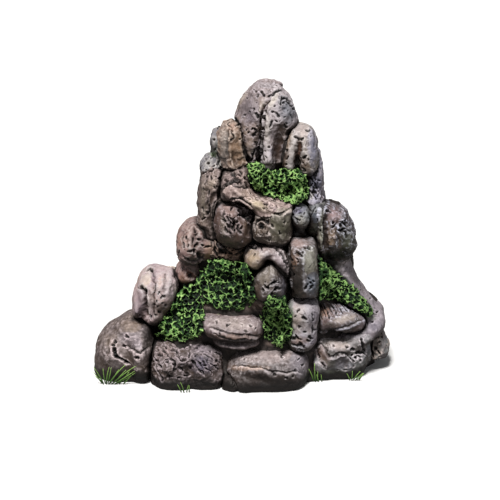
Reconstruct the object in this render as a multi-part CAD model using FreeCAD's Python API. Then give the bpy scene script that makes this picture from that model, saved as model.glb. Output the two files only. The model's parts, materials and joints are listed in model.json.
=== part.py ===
import FreeCAD, Part
import math
import os
import random

"""Resin cave ornament for a pond or an aquarium: a rockery of cast stones bonded on a hollow cave shell.

Frame, millimetres: +Z up, -Y is the display front, +X is the viewer's right from the front.
Origin: on the standing plane, in the middle of the plan. The tables below are laid out before
PLAN_SHIFT, which moves every finished piece to that origin.

The hollow shell has an open bottom and an arched mouth at the rear. Stones are ground flat where they
bed on the shell, on the standing plane and against their neighbours, with a glue line between.
Moss mats are shaped the same way. Moss mats and turf tufts are separate pieces.

A block is (name, centre, half sizes, lean). A plane is (unit normal, offset): the material kept lies
where normal . point <= offset.
"""

Vector = FreeCAD.Vector

PLAN_SHIFT = (-0.6, 1.8)   # brings the plan's middle to the origin
GLUE = 0.06                # half of the glue line between two blocks, all of it against the shell
MIN_VOLUME = 1.0           # scraps up to this volume are left out of a piece

# ---------------------------------------------------------------- cave shell
# Shell and cave are plans at z = 0 drawn towards an apex and cut level.
# Plan points are (x, y), anticlockwise seen from above.
SHELL_APEX = (17.0, 0.0, 128.0)
SHELL_TOP = 104.0
SHELL_PLAN = [(-50, -4), (-40, -15), (-14, -25), (26, -25), (50, -16),
              (62, -2), (57, 10), (38, 20), (-18, 20), (-44, 10)]
CAVE_APEX = (17.0, 0.0, 108.0)
CAVE_TOP = 80.0
CAVE_PLAN = [(-43, -3), (-36, -10), (-12, -19), (24, -19), (44, -11),
             (55, -1), (51, 6), (35, 14), (-16, 14), (-38, 6)]

MOUTH_X = 9.0          # mouth centre line
MOUTH_R = 15.0         # half width and arch radius of the mouth
MOUTH_SPRING = 14.0    # height of the straight jambs
MOUTH_DEPTH = 60       # the mouth cutter runs this far back from y = 0
MOUTH_BELOW = 1        # and starts this far below the standing plane
JAMB_CLEAR = 0.6       # stones stop this far from the mouth
HAUNCH_ANGLE = 35      # degrees above level where the haunch stones touch the arch's clearance

# ---------------------------------------------------------------- stone dressing
CHISEL_FACES = 64          # dressed flats on each block before it is ground to fit
CHISEL_JITTER = 0.12       # random shift of each component of a flat's direction
CHISEL_BITE = 0.035        # greatest share of its reach that a flat cuts off
BLOCKY = 2.45              # exponent of the rounded block: 2 is an egg, larger is squarer
REACH_POWER = BLOCKY / (BLOCKY - 1.0)
BLANK_SCALE = 1.6          # half side of the cubic blank, in largest half sizes
MIN_FACET_AREA = 0.25      # chisel flats smaller than this are left out
MIN_FACET_EDGE = 0.04      # and so are those with a shorter edge
ON_PLANE = 1e-6            # tolerance for a point lying on a plane
PARTING_DIRECTIONS = 900   # directions tried for the plane between two blocks
MOSS_OVERLAP_SHARE = 0.2   # part of an overlap with a moss mat that the stone gives up

# Corners of each side of the blank, as indices into its eight corners
BLANK_SIDES = ((0, 1, 3, 2), (4, 6, 7, 5), (0, 4, 5, 1), (2, 3, 7, 6), (0, 2, 6, 4), (1, 5, 7, 3))

# ---------------------------------------------------------------- blocks
# name, centre (x, y, z), half sizes (width, depth, height),
# lean about +Y in degrees (top towards +X)
FRONT_STONES = [
    ("summit_left_slab", (6.2, -1.0, 120.0), (8.8, 13.0, 20.6), 9),
    ("summit_right_slab", (17.4, -1.0, 119.5), (9.3, 13.0, 21.1), 0),
    ("right_finger_stone", (28.0, -8.0, 109.3), (8.8, 13.0, 13.0), 0),
    ("left_finger_stone", (-3.1, -5.0, 109.5), (5.6, 11.0, 12.2), -3),
    ("left_small_finger", (-9.7, -1.0, 107.1), (3.5, 9.0, 8.9), -4),
    ("left_upper_column", (-12.0, -5.0, 88.8), (8.4, 14.0, 16.2), 6),
    ("crinkled_ledge", (-3.5, -14.0, 95.1), (8.3, 9.0, 5.0), -8),
    ("brow_ledge", (5.7, -18.0, 88.1), (10.6, 9.0, 3.9), 20),
    ("upper_left_boulder", (-1.7, -17.0, 75.7), (9.3, 12.0, 11.0), 0),
    ("upper_right_boulder", (15.0, -19.0, 77.3), (8.8, 12.0, 9.4), 0),
    ("upper_small_stone", (27.5, -18.0, 78.9), (4.4, 9.0, 6.2), 0),
    ("right_grey_column", (33.6, -1.0, 98.4), (6.2, 13.0, 18.8), -4),
    ("right_shoulder_slope", (34.9, -7.0, 78.6), (6.6, 12.0, 10.2), -22),
    ("right_boulder", (47.0, -6.0, 67.4), (9.0, 16.0, 12.4), -8),
    ("right_neck", (49.4, -3.0, 48.4), (6.2, 13.0, 11.4), -6),
    ("right_slope_stone", (61.2, 0.0, 28.3), (8.8, 18.0, 15.3), -27),
    ("left_mid_boulder", (-21.3, -6.0, 60.4), (9.5, 16.0, 12.5), 8),
    ("left_pale_stone", (-39.9, -6.0, 36.7), (11.1, 17.0, 14.7), 6),
    ("arch_cap_stone", (12.2, -22.0, 61.2), (9.7, 11.0, 6.4), 0),
    ("arch_lower_stone", (14.6, -24.0, 50.6), (8.4, 11.0, 9.6), 0),
    ("tall_column_stone", (29.5, -22.0, 55.8), (7.2, 12.0, 15.2), -3),
    ("crevice_stone", (-4.2, -12.0, 59.9), (8.0, 10.0, 4.4), 0),
    ("left_ledge_stone", (-3.2, -22.0, 25.9), (13.7, 14.0, 8.3), 4),
    ("centre_block", (29.4, -20.0, 27.2), (7.1, 15.0, 12.0), 0),
    ("right_ledge_stone", (47.7, -14.0, 27.9), (12.4, 14.0, 5.3), 4),
    ("far_right_stone", (66.3, 2.0, 9.8), (5.7, 14.0, 9.9), 4),
    ("bottom_right_boulder", (49.4, -10.0, 6.8), (14.5, 18.0, 10.2), 0),
    ("bottom_centre_boulder", (14.3, -24.0, 5.9), (18.1, 17.0, 10.6), 0),
    ("bottom_small_stone", (-3.7, -28.0, 2.4), (5.2, 10.0, 6.7), 0),
    ("bottom_left_mid_boulder", (-24.9, -18.0, 5.4), (18.2, 19.0, 11.6), 0),
    ("bottom_left_boulder", (-57.2, -4.0, 7.4), (14.2, 22.0, 16.5), 0),
]
REAR_STONES = [
    ("rear_bottom_left", (-42.0, 20.0, 7.5), (15.0, 13.0, 13.5), 0),
    ("rear_jamb_left", (-17.0, 27.0, 9.0), (11.5, 11.0, 13.5), 0),
    ("rear_jamb_right", (36.0, 26.0, 9.0), (11.5, 11.0, 13.0), 0),
    ("rear_bottom_right", (57.0, 14.0, 8.0), (12.0, 13.0, 11.5), 0),
    ("rear_left_shoulder", (-36.0, 13.0, 32.0), (12.5, 11.0, 12.0), 0),
    ("rear_haunch_left", (-13.0, 22.0, 32.0), (10.5, 11.0, 12.0), -18),
    ("rear_haunch_right", (33.0, 21.0, 32.0), (10.0, 11.0, 12.5), 18),
    ("rear_right_shoulder", (52.0, 9.0, 32.0), (10.5, 12.0, 13.5), 0),
    ("rear_lintel", (9.5, 24.0, 41.0), (15.0, 10.0, 9.0), 0),
    ("rear_mid_left", (-13.0, 14.0, 56.0), (11.5, 11.0, 13.0), 6),
    ("rear_mid_centre", (11.0, 17.5, 62.0), (12.5, 10.0, 13.0), 0),
    ("rear_mid_right", (35.0, 13.0, 57.0), (11.0, 11.0, 14.0), -6),
    ("rear_upper_left", (-1.5, 10.0, 83.0), (9.5, 10.0, 14.0), 5),
    ("rear_upper_centre", (14.5, 13.0, 89.0), (8.5, 9.0, 14.0), 0),
    ("rear_upper_right", (29.0, 9.0, 83.0), (9.0, 10.0, 14.0), -5),
    ("rear_spire", (13.0, 11.0, 113.0), (9.5, 8.0, 15.0), 0),
]
MOSS_MATS = [
    ("moss_mat_upper", (17.7, -14.0, 94.1), (14.3, 7.0, 7.9), 14),
    ("moss_mat_left_upper", (-6.5, -16.0, 45.3), (12.3, 7.0, 12.7), 0),
    ("moss_mat_left_lower", (-28.1, -15.0, 31.0), (12.4, 8.0, 13.3), 0),
    ("moss_mat_centre", (17.4, -28.0, 32.3), (6.5, 7.0, 12.6), 0),
    ("moss_mat_right", (50.0, -12.0, 41.4), (16.6, 7.0, 7.1), 38),
]

# ---------------------------------------------------------------- turf tufts
CRUMB_HEIGHT = 1.6
CRUMB_TAPER = 0.82     # top radius over bottom radius
CRUMB_FLATTEN = 0.45   # depth over width of the crumb and of the blades' spread
BLADE_ROOT_R = 0.42
BLADE_TIP_R = 0.14
BLADE_ROOT_Z = 0.5     # blades start inside the crumb

# name, root (x, y), crumb half width, stone it is stuck to, blades
# blade: dx, dy before flattening, lean towards +X, lean towards -Y (degrees), length
TURF_TUFTS = [
    ("turf_tuft_left", (-61.0, -26.4), 4.8, "bottom_left_boulder", [
        (-3.2, -0.8, -26, 6, 9.0), (-2.4, -1.6, -14, 10, 12.0), (-1.6, -0.9, 2, 6, 10.5),
        (-0.7, -1.8, 14, 9, 13.0), (0.3, -1.0, 27, 7, 15.0), (1.3, -1.7, 38, 9, 16.5),
        (2.3, -1.0, 46, 6, 13.0), (3.2, -1.5, 52, 8, 10.0)]),
    ("turf_tuft_front", (-26.0, -37.9), 2.6, "bottom_left_mid_boulder", [
        (-1.2, -0.9, -20, 8, 6.0), (0.0, -1.3, -4, 10, 7.5), (1.2, -0.9, 18, 8, 6.0)]),
    ("turf_tuft_right", (36.4, -26.6), 2.6, "bottom_right_boulder", [
        (-1.3, -0.6, -10, 5, 8.5), (-0.4, -1.0, 3, 8, 9.5),
        (0.5, -0.6, 12, 6, 6.5), (1.3, -1.0, -16, 7, 5.0)]),
    ("turf_tuft_far_right", (55.0, -26.3), 2.8, "bottom_right_boulder", [
        (-1.4, -0.8, -14, 8, 5.0), (-0.5, -1.2, 8, 10, 6.5),
        (0.5, -0.8, 24, 8, 6.0), (1.4, -1.2, 38, 8, 5.0)]),
]


# ---------------------------------------------------------------- tuple geometry
def dot(a, b):
    return a[0] * b[0] + a[1] * b[1] + a[2] * b[2]


def cross(a, b):
    return (a[1] * b[2] - a[2] * b[1], a[2] * b[0] - a[0] * b[2], a[0] * b[1] - a[1] * b[0])


def minus(a, b):
    return (a[0] - b[0], a[1] - b[1], a[2] - b[2])


def flipped(normal, offset):
    """The same plane, keeping the other side."""
    return tuple(-c for c in normal), -offset


def area(polygon):
    total = (0.0, 0.0, 0.0)
    for i in range(1, len(polygon) - 1):
        c = cross(minus(polygon[i], polygon[0]), minus(polygon[i + 1], polygon[0]))
        total = (total[0] + c[0], total[1] + c[1], total[2] + c[2])
    return 0.5 * math.sqrt(dot(total, total))


def shortest_edge(polygon):
    return min(math.dist(point, polygon[i - 1]) for i, point in enumerate(polygon))


def directions(count):
    """Unit vectors spread evenly over the sphere along a golden-angle spiral."""
    golden_angle = math.pi * (3 - math.sqrt(5))
    for i in range(count):
        z = 1 - 2 * (i + 0.5) / count
        radius = math.sqrt(1 - z * z)
        yield (radius * math.cos(golden_angle * i), radius * math.sin(golden_angle * i), z)


def cap(points, normal):
    """The new face: rim points in order around the normal."""
    middle = tuple(sum(p[k] for p in points) / len(points) for k in range(3))
    least = min(range(3), key=lambda k: abs(normal[k]))
    helper = [0.0, 0.0, 0.0]
    helper[least] = 1.0
    across = cross(normal, helper)
    along = cross(normal, across)
    return sorted(points, key=lambda p: math.atan2(dot(minus(p, middle), along),
                                                   dot(minus(p, middle), across)))


def clip(faces, normal, offset):
    """The convex solid of faces cut by a plane. Shared corners come out identical on both faces."""
    kept, rim = [], {}
    for polygon in faces:
        outline = []
        for i, start in enumerate(polygon):
            end = polygon[(i + 1) % len(polygon)]
            start_gap, end_gap = dot(start, normal) - offset, dot(end, normal) - offset
            if start_gap <= 0:
                outline.append(start)
            if (start_gap < 0 < end_gap) or (end_gap < 0 < start_gap):
                # always work along the edge in the same direction
                (a, a_gap), (b, b_gap) = sorted(((start, start_gap), (end, end_gap)))
                t = a_gap / (a_gap - b_gap)
                corner = tuple(round(u + (v - u) * t, 9) for u, v in zip(a, b))
                outline.append(corner)
                rim[corner] = True
            elif start_gap == 0:
                rim[start] = True
        outline = [p for i, p in enumerate(outline) if p != outline[i - 1]]
        if len(outline) > 2:
            kept.append(outline)
    if len(rim) > 2 and len(kept) > 3:
        kept.append(cap(list(rim), normal))
    return kept


def solid_of(polygons):
    faces = []
    for polygon in polygons:
        points = [Vector(*p) for p in polygon]
        faces.append(Part.Face(Part.makePolygon(points + [points[0]])))
    solid = Part.makeSolid(Part.makeShell(faces))
    if solid.Volume < 0:
        solid.reverse()
    return solid


# ---------------------------------------------------------------- cave shell
def frustum(plan, apex, top):
    """Flat-sided solid: the plan at z = 0 drawn towards the apex and cut level at top."""
    shrink = 1.0 - top / apex[2]
    low = [(x, y, 0) for x, y in plan]
    high = [(apex[0] + (x - apex[0]) * shrink, apex[1] + (y - apex[1]) * shrink, top)
            for x, y in plan]
    polygons = [low, high]
    for i in range(len(plan)):
        j = (i + 1) % len(plan)
        polygons.append([low[i], low[j], high[j], high[i]])
    return solid_of(polygons)


def frustum_planes(plan, apex, top):
    """Outward planes of the frustum's top and sides."""
    planes = [((0.0, 0.0, 1.0), top)]
    for i in range(len(plan)):
        start = Vector(*plan[i], 0)
        end = Vector(*plan[(i + 1) % len(plan)], 0)
        normal = (end - start).cross(Vector(*apex) - start)
        normal.normalize()
        planes.append(((normal.x, normal.y, normal.z), normal.dot(start)))
    return planes


def cave_shell():
    outer = frustum(SHELL_PLAN, SHELL_APEX, SHELL_TOP)
    shell = outer.cut(frustum(CAVE_PLAN, CAVE_APEX, CAVE_TOP))
    mouth = Part.makeBox(2 * MOUTH_R, MOUTH_DEPTH, MOUTH_SPRING + MOUTH_BELOW,
                         Vector(MOUTH_X - MOUTH_R, 0, -MOUTH_BELOW))
    mouth = mouth.fuse(Part.makeCylinder(MOUTH_R, MOUTH_DEPTH,
                                         Vector(MOUTH_X, 0, MOUTH_SPRING), Vector(0, 1, 0)))
    return shell.cut(mouth.removeSplitter())


# ---------------------------------------------------------------- stones and moss mats
def axes_of(lean):
    """Width, depth and height axes of a leaning block."""
    t = math.radians(lean)
    return ((math.cos(t), 0.0, -math.sin(t)), (0.0, 1.0, 0.0), (math.sin(t), 0.0, math.cos(t)))


def reach(block, normal):
    """How far a rounded block reaches from its centre along the normal."""
    half, lean = block[2:]
    return sum(abs(h * dot(axis, normal)) ** REACH_POWER
               for h, axis in zip(half, axes_of(lean))) ** (1.0 / REACH_POWER)


def parting(a, b, share, trial_normals):
    """The plane that parts two blocks with the least loss, or None when they are clear.

    share is the part of the overlap that a gives up; None shares it by their reaches.
    """
    between = minus(b[1], a[1])
    gap, normal = max(((dot(between, n) - reach(a, n) - reach(b, n), n) for n in trial_normals),
                      key=lambda trial: trial[0])
    if gap >= 2 * GLUE:
        return None
    a_reach = reach(a, normal)
    if share is None:
        share = a_reach / (a_reach + reach(b, normal))
    return normal, dot(a[1], normal) + a_reach + gap * share


def bedding_planes(block, shell_planes):
    """Grinding planes against the shell and the standing plane."""
    centre = block[1]
    planes = []
    # bed on the shell facet that the centre stands furthest outside
    normal, offset = max(shell_planes, key=lambda plane: dot(centre, plane[0]) - plane[1])
    if offset + GLUE > dot(centre, normal) - reach(block, normal):
        planes.append(flipped(normal, offset + GLUE))
    if centre[2] - reach(block, (0, 0, 1)) < 0.0:
        planes.append(((0.0, 0.0, -1.0), 0.0))
    return planes


def mouth_planes():
    """Planes that stop the stones round the mouth clear of it, as (stone name, plane)."""
    jamb_left = MOUTH_X - MOUTH_R - JAMB_CLEAR
    jamb_right = MOUTH_X + MOUTH_R + JAMB_CLEAR
    crown = MOUTH_SPRING + MOUTH_R + JAMB_CLEAR
    planes = [("rear_jamb_left", ((1.0, 0.0, 0.0), jamb_left)),
              ("rear_jamb_right", ((-1.0, 0.0, 0.0), -jamb_right)),
              ("rear_lintel", ((0.0, 0.0, -1.0), -crown))]
    angle = math.radians(HAUNCH_ANGLE)
    for name, inward in (("rear_haunch_left", 1), ("rear_haunch_right", -1)):
        normal = (inward * math.cos(angle), 0.0, -math.sin(angle))
        offset = dot((MOUTH_X, 0.0, MOUTH_SPRING), normal) - MOUTH_R - JAMB_CLEAR
        planes.append((name, (normal, offset)))
    return planes


def grinding_planes(blocks):
    """All grinding planes of each block, by name."""
    shell_planes = frustum_planes(SHELL_PLAN, SHELL_APEX, SHELL_TOP)
    trial_normals = list(directions(PARTING_DIRECTIONS))
    planes = {block[0]: bedding_planes(block, shell_planes) for block in blocks}
    for i, a in enumerate(blocks):
        for b in blocks[i + 1:]:
            # moss mats come last in blocks, so in a mixed pair b is the mat
            mixed = b in MOSS_MATS and a not in MOSS_MATS
            part = parting(a, b, MOSS_OVERLAP_SHARE if mixed else None, trial_normals)
            if part:
                normal, offset = part
                planes[a[0]].append((normal, offset - GLUE))
                planes[b[0]].append(flipped(normal, offset + GLUE))
    for name, plane in mouth_planes():
        planes[name].append(plane)
    return planes


def chisel_flats(block):
    """Flats about tangent to the rounded block, repeatable because the name seeds them."""
    name, centre, half, lean = block
    axes = axes_of(lean)
    random.seed(sum(ord(c) * (i + 1) for i, c in enumerate(name)))
    flats = []
    for direction in directions(CHISEL_FACES):
        aim = [v + random.uniform(-CHISEL_JITTER, CHISEL_JITTER) for v in direction]
        slope = [math.copysign(abs(v) ** (BLOCKY - 1.0), v) / h for v, h in zip(aim, half)]
        normal = tuple(sum(slope[k] * axes[k][m] for k in range(3)) for m in range(3))
        length = math.sqrt(dot(normal, normal))
        normal = tuple(v / length for v in normal)
        depth = reach(block, normal) * (1.0 - random.uniform(0.0, CHISEL_BITE))
        flats.append((normal, dot(centre, normal) + depth))
    return flats


def blank(block):
    """The sides of the cube that a block is dressed from."""
    centre, half = block[1:3]
    size = max(half) * BLANK_SCALE
    xs, ys, zs = [(c - size, c + size) for c in centre]
    corners = [(x, y, z) for x in xs for y in ys for z in zs]
    return [[corners[i] for i in side] for side in BLANK_SIDES]


def dressed_block(block, cuts):
    """A block with flat chisel faces, ground by the cuts."""
    flats = chisel_flats(block)
    while True:
        faces = blank(block)
        for normal, offset in flats + cuts:
            faces = clip(faces, normal, offset)
        # leave out chisel flats that only make slivers, the smallest first
        slivers = [(area(face), i) for face in faces
                   if area(face) < MIN_FACET_AREA or shortest_edge(face) < MIN_FACET_EDGE
                   for i, (normal, offset) in enumerate(flats)
                   if all(abs(dot(p, normal) - offset) < ON_PLANE for p in face)]
        left_out = CHISEL_FACES - len(flats)
        if not slivers or left_out > CHISEL_FACES // 2:
            return solid_of(faces)
        del flats[min(slivers, key=lambda sliver: sliver[0])[1]]


def dressed_blocks():
    blocks = FRONT_STONES + REAR_STONES + MOSS_MATS
    planes = grinding_planes(blocks)
    solids = {}
    for block in blocks:
        name, centre = block[:2]
        cuts = [(normal, offset) for normal, offset in planes[name]
                if dot(centre, normal) + reach(block, normal) > offset]
        solids[name] = dressed_block(block, cuts)
    return solids


# ---------------------------------------------------------------- turf tufts
def turf_tuft(root, crumb_r, blades, stone):
    """Blades on a flattened crumb, cut to fit the stone it is stuck to."""
    crumb = Part.makeCone(crumb_r, crumb_r * CRUMB_TAPER, CRUMB_HEIGHT)
    flatten = FreeCAD.Matrix()
    flatten.scale(Vector(1.0, CRUMB_FLATTEN, 1.0))
    crumb = crumb.transformGeometry(flatten)
    cones = []
    for dx, dy, lean_x, lean_y, length in blades:
        direction = Vector(math.sin(math.radians(lean_x)), -math.sin(math.radians(lean_y)),
                           math.cos(math.radians(lean_x)))
        direction.normalize()
        cones.append(Part.makeCone(BLADE_ROOT_R, BLADE_TIP_R, length,
                                   Vector(dx, dy * CRUMB_FLATTEN, BLADE_ROOT_Z), direction))
    tuft = crumb.multiFuse(cones)
    tuft.translate(Vector(*root, 0))
    return max(tuft.cut(stone).Solids, key=lambda solid: solid.Volume)


# ---------------------------------------------------------------- build and export
def without_scraps(shape):
    solids = [s for s in shape.Solids if s.Volume > MIN_VOLUME]
    return solids[0] if len(solids) == 1 else Part.makeCompound(solids)


parts = {"cave_shell": cave_shell()}
parts.update(dressed_blocks())
for name, root, crumb_r, stone_name, blades in TURF_TUFTS:
    parts[name] = turf_tuft(root, crumb_r, blades, parts[stone_name])

os.makedirs("parts", exist_ok=True)
for name, shape in parts.items():
    shape.translate(Vector(*PLAN_SHIFT, 0))
    without_scraps(shape).exportStep("parts/%s.step" % name)
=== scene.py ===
"""Looks of a resin rockery: carved stones, a mortar shell with its cave, moss mats and turf tufts.

It stands on z = 0 with its display side towards -Y. The display view looks along +Y and down.
Shapes are worked out in millimetres and turned into metres when a mesh is made.
"""
import bpy
import json
import math
import numpy as np
import openvdb
from concurrent.futures import ThreadPoolExecutor
from dataclasses import dataclass
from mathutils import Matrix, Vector


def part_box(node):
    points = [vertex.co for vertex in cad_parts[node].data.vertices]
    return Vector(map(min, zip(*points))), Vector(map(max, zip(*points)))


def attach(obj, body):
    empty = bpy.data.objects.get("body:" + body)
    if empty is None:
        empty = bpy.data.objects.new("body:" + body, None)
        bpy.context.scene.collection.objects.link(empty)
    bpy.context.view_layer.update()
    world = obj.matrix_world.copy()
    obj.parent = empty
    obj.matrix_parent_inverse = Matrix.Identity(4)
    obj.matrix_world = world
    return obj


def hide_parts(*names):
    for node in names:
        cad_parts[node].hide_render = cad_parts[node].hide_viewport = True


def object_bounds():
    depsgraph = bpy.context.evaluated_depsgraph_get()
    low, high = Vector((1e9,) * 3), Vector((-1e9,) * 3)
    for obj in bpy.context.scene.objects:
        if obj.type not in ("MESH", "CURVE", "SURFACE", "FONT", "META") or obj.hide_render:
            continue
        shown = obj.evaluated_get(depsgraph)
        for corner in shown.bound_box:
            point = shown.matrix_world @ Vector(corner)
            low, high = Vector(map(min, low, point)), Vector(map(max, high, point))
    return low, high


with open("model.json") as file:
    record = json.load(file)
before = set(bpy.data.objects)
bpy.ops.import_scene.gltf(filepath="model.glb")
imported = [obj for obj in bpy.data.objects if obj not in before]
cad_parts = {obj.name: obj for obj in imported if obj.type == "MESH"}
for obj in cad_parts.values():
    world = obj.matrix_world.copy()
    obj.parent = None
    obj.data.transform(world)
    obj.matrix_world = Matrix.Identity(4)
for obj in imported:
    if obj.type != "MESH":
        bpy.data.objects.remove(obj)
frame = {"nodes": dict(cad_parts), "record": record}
CAD_LO, CAD_HI = [list(v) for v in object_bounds()]
F32 = np.float32

VIEW_DOWN = math.radians(18.0)        # how far the display view looks down
VIEW_COS, VIEW_SIN = math.cos(VIEW_DOWN), math.sin(VIEW_DOWN)

# Distances between mesh points, mm.
PITCH = 0.34
PITCH_REAR = 0.52
PITCH_SHELL = 0.75
PITCH_MOSS = 0.22

JOINT = 0.18            # half width of the joint between two stones, mm
MERGED_JOINT = -0.25    # negative: stones run into one another overlap by this, mm


# ------------------------------------------------------------------ stone tables
@dataclass
class Form:
    """One stone's large shape and finish."""
    lobes: list               # offset x, y, z from the box centre; half sizes x, y, z, mm;
    #                           lean about Y, degrees; squareness
    flats: tuple = ()         # normal x, y, z; distance from the box centre; edge softness, mm
    tone: str = "brown"       # key in TONES
    pits: float = 1.0         # amount of nicks and chips
    rough: float = 1.0        # amount of slow heave
    blend: float = 3.0        # softness between the lobes, mm
    swell: float = 6.5        # how far the stone swells to meet its neighbours, mm
    # bite also trims the painted highlight on faces turned up
    bite: float = 1.0         # above 1 the dry brush catches less
    gain: tuple = (1, 1, 1)   # multiplies the base coat
    # hi also sets the colour of the painted highlight
    hi: tuple = None          # multiplies the dry-brushed colour; None follows gain
    rear: bool = False


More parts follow.
